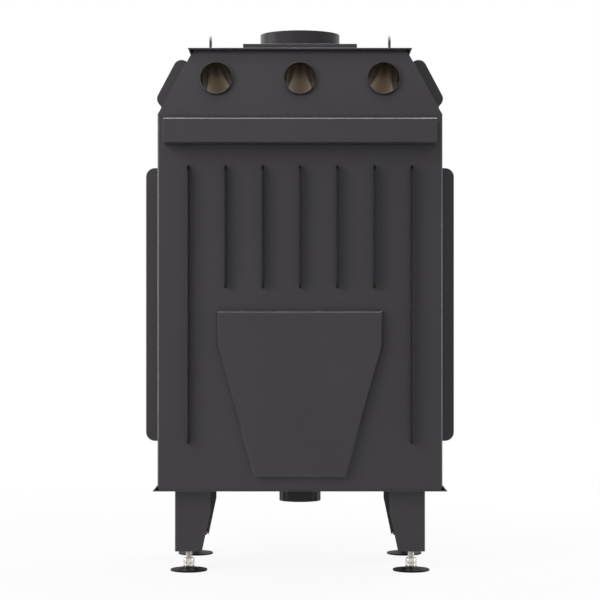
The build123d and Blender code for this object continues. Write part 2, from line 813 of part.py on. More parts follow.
def make_door():
    """Cast door frame with its glass, retaining clips and rope seal."""
    z_leaf, z_window = (z_leaf_low, z_leaf_high), (z_window_low, z_window_high)
    leaf = block((-door_half, door_half), (y_door_front, y_door), z_leaf)
    front_face = leaf.faces().sort_by(Axis.Y)[0]
    leaf = fillet(front_face.edges(), door_corner)
    leaf -= block((-window_half, window_half), (y_door_front - cut_over, y_door + cut_over), z_window)
    hold = glass_hold + fit_gap
    rebate = glass_sheet + rebate_extra + glass_bedding
    leaf -= block((-window_half - hold, window_half + hold), (y_door - rebate, y_door + cut_over),
                  (z_window_low - hold, z_window_high + hold))
    inner, outer = seal_inset, seal_inset + seal_width
    groove = ring(window_half + outer, (z_window_low - outer, z_window_high + outer),
                  window_half + inner, (z_window_low - inner, z_window_high + inner),
                  (y_door - seal_groove, y_door + cut_over))
    leaf -= groove
    y_cam = y_door - door_thickness / 2
    pocket = cam_sheet / 2 + cam_pocket_gap
    swing = cam_length + cam_pocket_gap
    leaf -= block((x_latch - cam_width / 2 - cam_pocket_gap, door_half + cut_over),
                  (y_cam - pocket, y_cam + pocket),
                  (z_latch - cam_width / 2 - cam_pocket_gap, z_latch + swing))
    leaf -= rod((x_latch, y_door + cut_over, z_latch), (0, -1, 0), door_thickness + 2 * cut_over,
                spindle_diameter + 2 * running_gap)
    keep("door_frame", leaf)
    keep("door_glass", block((-window_half - glass_hold, window_half + glass_hold),
                             (y_glass, y_glass + glass_sheet),
                             (z_window_low - glass_hold, z_window_high + glass_hold)))
    seal = ring(window_half + outer, (z_window_low - outer, z_window_high + outer),
                window_half + inner, (z_window_low - inner, z_window_high + inner),
                (y_door - seal_groove, y_frame - seat_gap))
    keep("door_seal", seal)
    clips = []
    y_clip = (y_door, y_door + clip_sheet)
    clip_low = seal_inset - seat_gap - clip_length
    z_clip = (z_window_high - z_window_low) / 2 * clip_spread
    for z in (z_window_low, z_window_high):
        turn = -1 if z == z_window_low else 1
        z_span = sorted((z + turn * clip_low, z + turn * (clip_low + clip_length)))
        for x in (-window_half * clip_spread, window_half * clip_spread):
            clips.append(block((x - clip_width / 2, x + clip_width / 2), y_clip, z_span))
    for side in (-1, 1):
        x_span = sorted((side * (window_half + clip_low), side * (window_half + clip_low + clip_length)))
        for z in (z_latch - z_clip, z_latch + z_clip):
            clips.append(block(x_span, y_clip, (z - clip_width / 2, z + clip_width / 2)))
    keep("glass_clips", *clips)


def hinge_levels():
    """Lower end of each hinge knuckle."""
    return [z_leaf_low + hinge_inset - knuckle_height / 2, z_leaf_high - hinge_inset - knuckle_height / 2]


def make_hinges():
    """Two hinges: lugs and pins on the front frame, knuckles on the door."""
    lugs, pins, knuckles = [], [], []
    for z in hinge_levels():
        for z_low in (z - seat_gap - hinge_lug_height, z + knuckle_height + seat_gap):
            lug = block((x_hinge - hinge_lug_width / 2, x_hinge + hinge_lug_width / 2), (y_hinge, y_frame),
                        (z_low, z_low + hinge_lug_height))
            lug += upright(x_hinge, y_hinge, z_low, z_low + hinge_lug_height, hinge_lug_width)
            z_over = z_low + hinge_lug_height + cut_over
            lug -= upright(x_hinge, y_hinge, z_low - cut_over, z_over, pin_diameter)
            lugs.append(lug)
        z_pin = z - seat_gap - hinge_lug_height
        z_pin_top = z_pin + knuckle_height + 2 * (hinge_lug_height + seat_gap)
        pins.append(upright(x_hinge, y_hinge, z_pin, z_pin_top, pin_diameter))
        knuckle = upright(x_hinge, y_hinge, z, z + knuckle_height, knuckle_diameter)
        knuckle += block((x_hinge, -door_half), (y_hinge - knuckle_tab / 2, y_hinge + knuckle_tab / 2),
                         (z, z + knuckle_height))
        knuckle -= upright(x_hinge, y_hinge, z - cut_over, z + knuckle_height + cut_over,
                           pin_diameter + 2 * running_gap)
        knuckles.append(knuckle)
    keep("hinge_lugs", *lugs)
    keep("hinge_pins", *pins)
    keep("door_knuckles", *knuckles)


def make_latch():
    """Turning handle with its spindle and cam, and the strike on the front frame."""
    y_hub = y_door_front - seat_gap
    y_bar = y_hub - handle_standoff
    hub = rod((x_latch, y_hub, z_latch), (0, -1, 0), handle_standoff + handle_bar_depth, handle_hub_diameter)
    bar = block((x_latch - handle_bar_width / 2, x_latch + handle_bar_width / 2),
                (y_bar - handle_bar_depth, y_bar), (z_latch - handle_length, z_latch))
    bar = fillet(bar.edges().group_by(Axis.Z)[0], handle_bar_depth * handle_round_share)
    hub -= rod((x_latch, y_hub, z_latch), (0, -1, 0), handle_standoff, spindle_diameter)
    keep("door_handle", hub + bar)
    y_cam = y_door - door_thickness / 2
    spindle = rod((x_latch, y_cam + cam_sheet / 2, z_latch), (0, -1, 0),
                  y_cam + cam_sheet / 2 - y_bar, spindle_diameter)
    cam = block((x_latch - cam_width / 2, x_latch + cam_width / 2),
                (y_cam - cam_sheet / 2, y_cam + cam_sheet / 2), (z_latch, z_latch + cam_length))
    cam = fillet(cam.edges().filter_by(Axis.Y).group_by(Axis.Z)[-1], cam_width * cam_round_share)
    cam += rod((x_latch, y_cam + cam_sheet / 2, z_latch), (0, -1, 0), cam_sheet, cam_width)
    keep("latch_spindle", spindle + cam)
    x_strike = door_half + strike_side_gap
    y_lip = y_cam - cam_sheet / 2 - strike_clearance
    z_span = (z_latch - strike_height / 2, z_latch + strike_height / 2)
    x_web = x_strike + strike_lip
    strike = block((x_web, x_web + strike_sheet), (y_lip - strike_sheet, y_frame), z_span)
    strike += block((x_strike, x_web), (y_lip - strike_sheet, y_lip), z_span)
    strike += block((x_web, x_strike + strike_width), (y_frame - strike_sheet, y_frame), z_span)
    keep("strike_plate", strike)


# Firebox
grate_y = (y_front + grate_setback, y_front + grate_setback + grate_depth)


def make_hearth():
    """Hearth plate under the bricks, the bricks round the grate, and the grate."""
    plate = block((-x_inside + fit_gap, x_inside - fit_gap), (y_front, y_inside_rear - fit_gap),
                  (z_hearth, z_hearth_top))
    plate = fillet(plate.edges().filter_by(Axis.Z).group_by(Axis.Y)[-1], bend_radius)
    plate -= block((-grate_width / 2 + grate_bearing, grate_width / 2 - grate_bearing),
                   (grate_y[0] + grate_bearing, grate_y[1] - grate_bearing),
                   (z_hearth - cut_over, z_hearth_top + cut_over))
    keep("hearth_plate", plate)
    z_span = (z_hearth_top, z_hearth_top + brick_height)
    x_brick = x_lining - fit_gap
    x_grate = grate_width / 2 + fit_gap
    y_low, y_high = y_front + fit_gap, y_inside_rear - fit_gap - lining_sheet - fit_gap
    y_cut = (grate_y[0] - fit_gap, grate_y[1] + fit_gap)
    side = block((x_grate, x_brick), (y_cut[0] + fit_gap, y_cut[1] - fit_gap), z_span)
    keep("floor_bricks", *pair(side), block((-x_brick, x_brick), (y_low, y_cut[0]), z_span),
         block((-x_brick, x_brick), (y_cut[1], y_high), z_span))
    grate = block((-grate_width / 2, grate_width / 2), grate_y, (z_hearth_top, z_hearth_top + grate_height))
    step = grate_slot + grate_bar
    count = int((grate_width - 2 * grate_rim + grate_bar) // step)
    start = -(count - 1) * step / 2
    y_slot = (grate_y[0] + grate_rim, grate_y[1] - grate_rim)
    z_through = (z_hearth_top - cut_over, z_hearth_top + grate_height + cut_over)
    for index in range(count):
        x = start + index * step
        grate -= block((x - grate_slot / 2, x + grate_slot / 2), y_slot, z_through)
    keep("grate", grate)


x_lining = x_inside - fit_gap - lining_sheet


def make_lining():
    """Fireproof boards at the sides and the rear; the rear ones have the air holes."""
    y_low, y_high = y_front + lining_front_gap, y_inside_rear - fit_gap
    y_middle = (y_low + y_high) / 2
    z_span = (z_hearth_top, z_lining_top)
    y_side_end = y_inside_rear - bend_radius
    boards = [block((x_lining, x_lining + lining_sheet), (y_low, y_middle - fit_gap / 2), z_span),
              block((x_lining, x_lining + lining_sheet), (y_middle + fit_gap / 2, y_side_end), z_span)]
    keep("side_lining", *boards, *[mirrored(board) for board in boards])
    rear = block((fit_gap / 2, x_lining - fit_gap), (y_high - lining_sheet, y_high), z_span)
    halves = list(pair(rear))
    for x in nozzle_row():
        bore = rod((x, y_high + cut_over, z_nozzle), (0, -1, 0), lining_sheet + 2 * cut_over, nozzle_hole)
        halves = [half - bore for half in halves]
    keep("rear_lining", *halves)


def make_baffles():
    """Two baffles above the fire, the brackets of the upper one, and the air wash strip."""
    x_low_baffle = x_inside - lower_baffle_side_gap
    keep("lower_baffle", block((-x_low_baffle, x_low_baffle),
                               (y_front + lower_baffle_front_gap, y_inside_rear - fit_gap),
                               (z_lining_top, z_lining_top + lower_baffle_sheet)))
    z_upper = z_lining_top + upper_baffle_rise
    y_span = (y_front + upper_baffle_front_gap, y_inside_rear - upper_baffle_rear_gap)
    keep("upper_baffle", block((-x_inside + fit_gap, x_inside - fit_gap), y_span,
                               (z_upper, z_upper + upper_baffle_sheet)))
    x_shelf, x_leg = x_inside - bracket_leg, x_inside - bracket_sheet
    angle = [(x_inside, z_upper), (x_shelf, z_upper), (x_shelf, z_upper - bracket_sheet),
             (x_leg, z_upper - bracket_sheet), (x_leg, z_upper - bracket_leg),
             (x_inside, z_upper - bracket_leg)]
    keep("baffle_brackets", *pair(prism_y(Polygon(*angle, align=None), *y_span)))
    z_wash = z_door_head + airwash_rise
    y_wash = y_front + airwash_depth
    wash = [(y_front, z_wash), (y_wash, z_wash), (y_wash, z_wash - airwash_drop),
            (y_wash - airwash_sheet, z_wash - airwash_drop),
            (y_wash - airwash_sheet, z_wash - airwash_sheet), (y_front, z_wash - airwash_sheet)]
    keep("air_wash_strip", prism_x(Polygon(*wash, align=None), -airwash_width / 2, airwash_width / 2))


def make_log_guard():
    """Bar that stands on the front bricks and keeps logs off the glass."""
    half = x_lining - guard_end_gap
    y_guard = y_front + guard_setback
    z_low = z_hearth_top + brick_height
    keep("log_guard", block((-half, half), (y_guard, y_guard + guard_sheet), (z_low, z_low + guard_height)))


def make_drawer():
    """Ash drawer with its front and knob, and the rails that it slides on."""
    half = drawer_width / 2
    y_panel = y_frame - seat_gap
    pan = block((-half, half), (y_panel, y_panel + drawer_depth), (z_drawer, z_drawer + drawer_height))
    pan -= block((-half + drawer_sheet, half - drawer_sheet),
                 (y_panel + drawer_sheet, y_panel + drawer_depth - drawer_sheet),
                 (z_drawer + drawer_sheet, z_drawer + drawer_height + cut_over))
    keep("ash_drawer", pan)
    side = half + drawer_opening_side + drawer_front_overlap
    z_low = z_drawer - drawer_opening_under - drawer_front_overlap
    z_high = z_drawer + drawer_height + drawer_opening_over + drawer_front_overlap
    y_face = y_panel - drawer_front_sheet
    panel = block((-side, side), (y_face, y_panel), (z_low, z_high))
    knob = rod((0, y_face, (z_low + z_high) / 2), (0, -1, 0), drawer_knob_length, drawer_knob_diameter)
    rim = knob.edges().filter_by(GeomType.CIRCLE).sort_by(Axis.Y)[0]
    knob = fillet(rim, drawer_knob_diameter * knob_round_share)
    keep("ash_drawer_front", panel, knob)
    x_web = half + rail_side_gap
    z_shelf = z_drawer - seat_gap
    y_rail = (y_front, y_front + drawer_depth)
    rail = block((x_web, x_web + rail_sheet), y_rail, (z_walls, z_walls + rail_web))
    rail += block((x_web, x_web + rail_foot), y_rail, (z_walls, z_walls + rail_sheet))
    rail += block((x_web - rail_shelf, x_web), y_rail, (z_shelf - rail_sheet, z_shelf))
    keep("drawer_rails", *pair(rail))


make_rear_wall()
make_side_walls()
make_base_plate()
make_hood()
make_top_plate()
make_flue()
make_lifting_lugs()
make_tubes()
make_channel()
make_rear_fins()
make_side_fins()
make_hood_fins()
make_duct_cover()
make_inlet()
make_air_box()
make_air_slide()
make_legs()
make_feet()
make_front_frame()
make_door()
make_hinges()
make_latch()
make_hearth()
make_lining()
make_baffles()
make_log_guard()
make_drawer()

os.makedirs("parts", exist_ok=True)
for node_name, shape in nodes.items():
    export_step(shape, "parts/" + node_name + ".step")
print(len(nodes), "nodes")
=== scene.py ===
"""Looks of a fireplace insert: finishes, rounded sheet edges, welds, threads and the rope seal.

Runs in Blender 4.5. Lengths are in metres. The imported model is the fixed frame: +Z is up, the
door faces -Y, and the rear wall, which the photograph shows, faces +Y.
"""

import json
import logging
from dataclasses import dataclass, field
from enum import Enum
from math import cos, hypot, pi, radians, sin
from typing import Any, Callable, Dict, List, Optional, Protocol, Sequence, Tuple

import bmesh
import bpy
from bmesh.types import BMEdge, BMesh, BMVert
from bpy.types import Material, Mesh, Node, NodeSocket, NodeTree, Object
from mathutils import Matrix, Vector

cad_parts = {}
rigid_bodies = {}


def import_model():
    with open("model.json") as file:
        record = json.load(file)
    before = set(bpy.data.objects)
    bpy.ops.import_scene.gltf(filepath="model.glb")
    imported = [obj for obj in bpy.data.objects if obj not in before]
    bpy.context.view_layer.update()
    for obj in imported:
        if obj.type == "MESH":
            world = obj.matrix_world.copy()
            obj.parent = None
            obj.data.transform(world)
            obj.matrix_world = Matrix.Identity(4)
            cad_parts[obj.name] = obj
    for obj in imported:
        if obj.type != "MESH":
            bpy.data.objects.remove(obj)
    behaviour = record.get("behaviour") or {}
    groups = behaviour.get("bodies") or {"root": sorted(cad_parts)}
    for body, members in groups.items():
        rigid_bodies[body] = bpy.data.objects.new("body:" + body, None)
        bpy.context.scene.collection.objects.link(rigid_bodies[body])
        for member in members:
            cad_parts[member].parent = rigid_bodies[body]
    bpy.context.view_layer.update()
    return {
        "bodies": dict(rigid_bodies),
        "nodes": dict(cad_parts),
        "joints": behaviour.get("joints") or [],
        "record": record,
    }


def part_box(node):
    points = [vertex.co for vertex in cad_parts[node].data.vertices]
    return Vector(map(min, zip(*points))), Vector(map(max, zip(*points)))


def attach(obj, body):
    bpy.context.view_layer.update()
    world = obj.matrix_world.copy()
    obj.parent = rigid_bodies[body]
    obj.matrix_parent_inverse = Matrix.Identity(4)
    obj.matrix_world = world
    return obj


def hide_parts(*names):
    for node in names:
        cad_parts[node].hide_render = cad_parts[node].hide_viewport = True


LOG = logging.getLogger("fireplace_insert")

MM = 0.001
SAME_POINT = 0.002 * MM      # mesh points closer than this are one point
ON_LEVEL = 0.01 * MM         # a point this close to a level lies on it
FLAT_ANGLE = radians(0.4)    # faces that meet at less than this are one flat face
SHARP_ANGLE = radians(35)    # edges that bend more than this are eased
SHADING_ANGLE = radians(38)  # edges that bend more than this stay crisp in the shading
ARC_PROFILE = 0.5            # a bevel's profile where it follows an arc

Colour = Tuple[float, float, float]
Place = Tuple[float, float, float]
Box = Tuple[Vector, Vector]
WHITE: Colour = (1.0, 1.0, 1.0)


# Shader tools

class Signal:
    """A value socket whose arithmetic adds Math nodes."""

    def __init__(self, kit: "NodeKit", socket: NodeSocket) -> None:
        self.kit = kit
        self.socket = socket

    def _math(self, operation: str, *values: Any) -> "Signal":
        """Add one Math node and return its result.

        Args:
            operation: the Math node's operation.
            values: numbers or signals, in the node's order.

        Returns:
            The node's output as a signal.
        """
        return self.kit.signal("ShaderNodeMath", {"operation": operation}, dict(enumerate(values)))

    def __add__(self, other: Any) -> "Signal":
        """Return self + other."""
        return self._math("ADD", self, other)

    def __radd__(self, other: Any) -> "Signal":
        """Return other + self."""
        return self._math("ADD", other, self)

    def __sub__(self, other: Any) -> "Signal":
        """Return self - other."""
        return self._math("SUBTRACT", self, other)

    def __rsub__(self, other: Any) -> "Signal":
        """Return other - self."""
        return self._math("SUBTRACT", other, self)

    def __mul__(self, other: Any) -> "Signal":
        """Return self * other."""
        return self._math("MULTIPLY", self, other)

    def __rmul__(self, other: Any) -> "Signal":
        """Return other * self."""
        return self._math("MULTIPLY", other, self)

    def __pow__(self, other: Any) -> "Signal":
        """Return self to a power."""
        return self._math("POWER", self, other)

    def larger(self, other: Any) -> "Signal":
        """Return the larger of self and other."""
        return self._math("MAXIMUM", self, other)

    def wrapped(self, span: float) -> "Signal":
        """Return self moved by whole spans to between -span / 2 and span / 2."""
        return self._math("WRAP", self, span / 2, -span / 2)

    def clipped(self, low: float, high: float) -> "Signal":
        """Return the share of the way from low to high, held between 0 and 1."""
        values = {0: self, 1: low, 2: high, 3: 0.0, 4: 1.0}
        return self.kit.signal("ShaderNodeMapRange", {"clamp": True}, values)


class NodeKit:
    """A node tree and the few ways in which nodes are added to it."""

    def __init__(self, tree: NodeTree) -> None:
        """Keep a node tree and empty it."""
        self.tree = tree
        self.tree.nodes.clear()

    def set(self, socket: NodeSocket, value: Any) -> None:
        """Give a socket a number, a colour, a signal or another socket."""
        if isinstance(value, Signal):
            value = value.socket
        if isinstance(value, NodeSocket):
            self.tree.links.new(value, socket)
        elif socket.type == "RGBA":
            socket.default_value = (*value, 1.0)
        else:
            socket.default_value = value

    def node(self, kind: str, settings: Dict[str, Any], values: Dict[Any, Any]) -> Node:
        """Add any node.

        Args:
            kind: the node's type name.
            settings: the node's attributes, which are set first.
            values: input name or number to a value or link.

        Returns:
            The new node.
        """
        node = self.tree.nodes.new(kind)
        for key, value in settings.items():
            setattr(node, key, value)
        for key, value in values.items():
            self.set(node.inputs[key], value)
        return node

    def signal(self, kind: str, settings: Dict[str, Any], values: Dict[Any, Any],
               output: Any = 0) -> Signal:
        """Add any node and return one of its outputs, by name or number, as a signal."""
        return Signal(self, self.node(kind, settings, values).outputs[output])

    def rays(self, kind: str) -> Signal:
        """Return 1 for rays of one kind, such as Camera, and 0 for all others."""
        return self.signal("ShaderNodeLightPath", {}, {}, f"Is {kind} Ray")

    def mirrored(self) -> Signal:
        """Return 1 for rays that a surface has reflected or glass has let through."""
        return self.rays("Glossy").larger(self.rays("Transmission"))

    def mixed(self, share: Signal, under: Node, over: Node) -> NodeSocket:
        """Return the mix of two shader nodes, with a share of the second."""
        values = {0: share, 1: under.outputs[0], 2: over.outputs[0]}
        return self.node("ShaderNodeMixShader", {}, values).outputs[0]


class SurfaceKit(NodeKit):
    """A new material's nodes: a Principled shader, its output and what textures are made from."""

    def __init__(self, name: str) -> None:
        """Make a material that holds a Principled shader and its output."""
        self.material = bpy.data.materials.new(name)
        self.material.use_nodes = True
        super().__init__(self.material.node_tree)
        self.shader = self.node("ShaderNodeBsdfPrincipled", {}, {})
        self.output = self.node("ShaderNodeOutputMaterial", {}, {0: self.shader.outputs[0]})
        self.place = self.node("ShaderNodeTexCoord", {}, {}).outputs["Object"]

    def stretched(self, scale: Place) -> NodeSocket:
        """Return object coordinates stretched along the axes."""
        return self.node("ShaderNodeMapping", {}, {"Vector": self.place, "Scale": scale}).outputs[0]

    def noise(self, size: float, detail: float, roughness: float,
              place: Optional[NodeSocket] = None) -> Signal:
        """Add noise whose largest features are about size metres.

        Args:
            size: feature size in metres.
            detail: number of finer octaves.
            roughness: weight of the finer octaves.
            place: coordinates, or None for plain object coordinates.

        Returns:
            The noise value, about 0.5 in the mean.
        """
        values = {"Vector": place or self.place, "Scale": 1.0 / size, "Detail": detail,
                  "Roughness": roughness}
        return self.signal("ShaderNodeTexNoise", {}, values)

    def cells(self, size: float) -> Signal:
        """Return the distance to the nearest of scattered points, size metres apart."""
        values = {"Vector": self.place, "Scale": 1.0 / size}
        return self.signal("ShaderNodeTexVoronoi", {}, values, "Distance")

    def blend(self, share: Signal, first: Any, second: Any) -> NodeSocket:
        """Return a colour between two colours or colour sockets."""
        node = self.node("ShaderNodeMix", {"data_type": "RGBA"}, {0: share, 6: first, 7: second})
        return node.outputs[2]

    def bump(self, height: Signal, depth: float, under: Any = None) -> NodeSocket:
        """Add a Bump node.

        Args:
            height: relief between 0 and 1.
            depth: full depth of that relief in metres.
            under: normal of a coarser bump, or None.

        Returns:
            The bumped normal.
        """
        values = {"Height": height, "Distance": depth, "Strength": 1.0}
        if under is not None:
            values["Normal"] = under
        return self.node("ShaderNodeBump", {}, values).outputs[0]

    def wire(self, **values: Any) -> None:
        """Set the Principled shader's sockets, which are named with _ for each space."""
        for name, value in values.items():
            self.set(self.shader.inputs[name.replace("_", " ")], value)


# Finishes

class Recipe(Protocol):
    """Anything that can give a new material its look."""

    def build(self, kit: SurfaceKit) -> None:
        """Wire the look into a material's nodes."""


@dataclass(frozen=True)
class StovePaint:
    """Heat-resistant paint on steel or iron: fine grain, slow changes of tone and gloss."""

    colour: Colour
    tint: Colour
    roughness: float
    patch: float = 230 * MM
    ripple: float = 6 * MM
    ripple_depth: float = 0.06 * MM
    grain: float = 0.9 * MM
    grain_depth: float = 0.05 * MM
    spread: float = 0.06
    shine: float = 0.5

    def build(self, kit: SurfaceKit) -> None:
        """Wire the paint."""
        slow = kit.noise(self.patch, 3.0, 0.55)
        fine = kit.noise(self.grain, 2.0, 0.6)
        speck = kit.cells(self.grain * 2.6)
        share = (slow * 0.75 + fine * 0.35).clipped(0.30, 0.80)
        colour = kit.blend(share, self.colour, self.tint)
        gloss = (slow - 0.5) * self.spread * 2.0 + (fine - 0.5) * self.spread + self.roughness
        ripple = kit.bump(kit.noise(self.ripple, 2.0, 0.5), self.ripple_depth)
        relief = kit.bump(fine * 0.7 + speck * 0.3, self.grain_depth, ripple)
        kit.wire(Base_Color=colour, Roughness=gloss, Normal=relief, Specular_IOR_Level=self.shine)


@dataclass(frozen=True)
class CastIron:
    """Cast surface: sandy pits under thin paint, with rubbed lighter spots."""

    colour: Colour
    rubbed: Colour
    roughness: float = 0.58
    patch: float = 90 * MM
    pit: float = 2.2 * MM
    depth: float = 0.22 * MM

    def build(self, kit: SurfaceKit) -> None:
        """Wire the cast surface."""
        sand = kit.noise(self.pit, 4.0, 0.62)
        slow = kit.noise(self.patch, 3.0, 0.5)
        pits = kit.cells(self.pit * 2.2).clipped(0.05, 0.45)
        share = (slow * 0.6 + sand * 0.5).clipped(0.45, 0.75)
        colour = kit.blend(share, self.colour, self.rubbed)
        rough = self.roughness + (sand - 0.5) * 0.22
        relief = kit.bump(sand * 0.6 + pits * 0.4, self.depth)
        kit.wire(Base_Color=colour, Roughness=rough, Normal=relief)


@dataclass(frozen=True)
class PlatedSteel:
    """Zinc-plated or brushed steel: fine lines along an axis and slow stains."""

    colour: Colour
    stain: Colour
    stretch: Place = (1.0, 1.0, 0.04)
    line: float = 0.7 * MM
    patch: float = 12 * MM
    roughness: float = 0.30
    depth: float = 0.02 * MM

    def build(self, kit: SurfaceKit) -> None:
        """Wire the plated steel."""
        lines = kit.noise(self.line, 3.0, 0.6, kit.stretched(self.stretch))
        cloud = kit.noise(self.patch, 4.0, 0.6)
        colour = kit.blend(cloud.clipped(0.35, 0.7), self.colour, self.stain)
        rough = self.roughness + (lines - 0.5) * 0.22 + (cloud - 0.5) * 0.16
        kit.wire(Base_Color=colour, Roughness=rough, Metallic=1.0,
                 Normal=kit.bump(lines, self.depth))


@dataclass(frozen=True)
class ScaledSteel:
    """Sloping tubes with a brown mill scale in the bore and the casing's paint outside."""

    colour: Colour
    worn: Colour
    edge: Colour
    paint: Colour
    roughness: float
    patch: float = 30 * MM
    grain: float = 1.2 * MM
    grain_depth: float = 0.03 * MM
    pitch: float = 203 * MM
    height: float = 1177.2 * MM
    slope: float = 0.1051
    bore: float = 37.8 * MM
    border: float = 0.3 * MM

    def build(self, kit: SurfaceKit) -> None:
        """Wire the tubes' finish."""
        cloud = kit.noise(self.patch, 4.0, 0.6)
        fine = kit.noise(self.grain, 3.0, 0.6)
        axes = kit.node("ShaderNodeSeparateXYZ", {}, {0: kit.place}).outputs
        x, y, z = (Signal(kit, axis) for axis in axes)
        across = x.wrapped(self.pitch)
        upward = (z - y * self.slope - self.height) * (1 / hypot(1, self.slope))
        from_axis = (across * across + upward * upward) ** 0.5
        outside = from_axis.clipped(self.bore, self.bore + self.border)
        scale = kit.blend((cloud * 0.8 + fine * 0.3).clipped(0.4, 0.8), self.colour, self.worn)
        rough = self.roughness + (cloud - 0.5) * 0.10 + (fine - 0.5) * 0.06 + outside * 0.12
        kit.wire(Base_Color=kit.blend(outside, scale, self.paint), Roughness=rough,
                 Metallic=1.0 - outside, Specular_Tint=self.edge,
                 Normal=kit.bump(fine, self.grain_depth))


@dataclass(frozen=True)
class FireBoard:
    """Pressed mineral board: flakes, pits and a little soot."""

    colour: Colour
    flake: Colour
    dark: Colour
    roughness: float = 0.9
    flake_size: float = 4.5 * MM
    grit_size: float = 1.8 * MM
    patch: float = 140 * MM
    pit: float = 3.5 * MM
    depth: float = 0.7 * MM

    def build(self, kit: SurfaceKit) -> None:
        """Wire the board."""
        flakes = kit.cells(self.flake_size).clipped(0.10, 0.55)
        grit = kit.noise(self.grit_size, 4.0, 0.65)
        cloud = kit.noise(self.patch, 4.0, 0.55)
        base = kit.blend((flakes * 0.8 + grit * 0.3).clipped(0.2, 0.9), self.flake, self.colour)
        soot = (cloud * 0.8 + grit * 0.2).clipped(0.50, 0.80) * 0.55
        colour = kit.blend(soot, base, self.dark)
        pits = kit.noise(self.pit, 3.0, 0.6).clipped(0.28, 0.42)
        relief = kit.bump(pits * 0.6 + grit * 0.4, self.depth)
        rough = self.roughness - (grit - 0.5) * 0.15
        kit.wire(Base_Color=colour, Roughness=rough, Normal=relief)


@dataclass(frozen=True)
class CeramicGlass:
    """Clear heat-proof glass with a faint warm tint and a very slight wave."""

    colour: Colour
    roughness: float = 0.02
    index: float = 1.5
    wave: float = 50 * MM
    wave_depth: float = 0.04 * MM
    film: float = 110 * MM
    film_shade: float = 0.86

    def build(self, kit: SurfaceKit) -> None:
        """Wire the glass."""
        wave = kit.noise(self.wave, 1.0, 0.4)
        film = kit.noise(self.film, 4.0, 0.6).clipped(0.45, 0.95)
        filmed = tuple(part * self.film_shade for part in self.colour)
        kit.wire(Base_Color=kit.blend(film * 0.5, self.colour, filmed),
                 Roughness=self.roughness + film * 0.03, Transmission_Weight=1.0,
                 IOR=self.index, Normal=kit.bump(wave, self.wave_depth))


@dataclass(frozen=True)
class GlassRope:
    """Braided glass-fibre rope: fine yarns in a dark grey."""

    colour: Colour
    light: Colour
    roughness: float = 0.86
    yarn: float = 0.8 * MM
    tuft: float = 4 * MM
    depth: float = 0.4 * MM

    def build(self, kit: SurfaceKit) -> None:
        """Wire the rope."""
        yarn = kit.noise(self.yarn, 3.0, 0.6)
        tuft = kit.noise(self.tuft, 3.0, 0.5)
        colour = kit.blend((yarn * 0.6 + tuft * 0.5).clipped(0.35, 0.8), self.colour, self.light)
        kit.wire(Base_Color=colour, Roughness=self.roughness + (yarn - 0.5) * 0.1,
                 Normal=kit.bump(yarn * 0.7 + tuft * 0.3, self.depth))


@dataclass(frozen=True)
class MouldedPlastic:
    """Moulded plastic with a spark-eroded grain and slight scuffs."""

    colour: Colour
    scuff: Colour
    roughness: float
    shine: float = 0.5
    grain: float = 0.7 * MM
    patch: float = 20 * MM
    depth: float = 0.06 * MM

    def build(self, kit: SurfaceKit) -> None:
        """Wire the plastic."""
        grain = kit.noise(self.grain, 2.0, 0.5)
        cloud = kit.noise(self.patch, 4.0, 0.6)
        share = (cloud * 0.7 + grain * 0.4).clipped(0.45, 0.85)
        rough = self.roughness + (cloud - 0.5) * 0.2 + (grain - 0.5) * 0.1
        kit.wire(Base_Color=kit.blend(share, self.colour, self.scuff), Roughness=rough,
                 Specular_IOR_Level=self.shine, Normal=kit.bump(grain, self.depth))


class Finish(Enum):
    """The object's finishes, by the record's material slots, and two more of the casing's paint: a
    near-black one on the rear fins, which is painted shade, and the collar's.
    """

    CASING = "casing_paint"
    FIN_PAINTED_SHADE = "fin_paint_painted_shade"
    COLLAR = "collar_paint"
    TUBE = "tube_steel"
    SPIGOT = "spigot_enamel"
    FIREBOX = "firebox_steel"
    ZINC = "zinc"
    PAD = "pad_black"
    BOARD = "firebrick"
    GRATE = "cast_iron"
    DOOR = "door_iron"
    GLASS = "glass"
    ROPE = "rope_seal"
    HANDLE = "handle_steel"
    KNOB = "knob_black"

    @property
    def slot(self) -> str:
        """Return the record's slot that the finish belongs to."""
        return "casing_paint" if self in (Finish.FIN_PAINTED_SHADE, Finish.COLLAR) else self.value


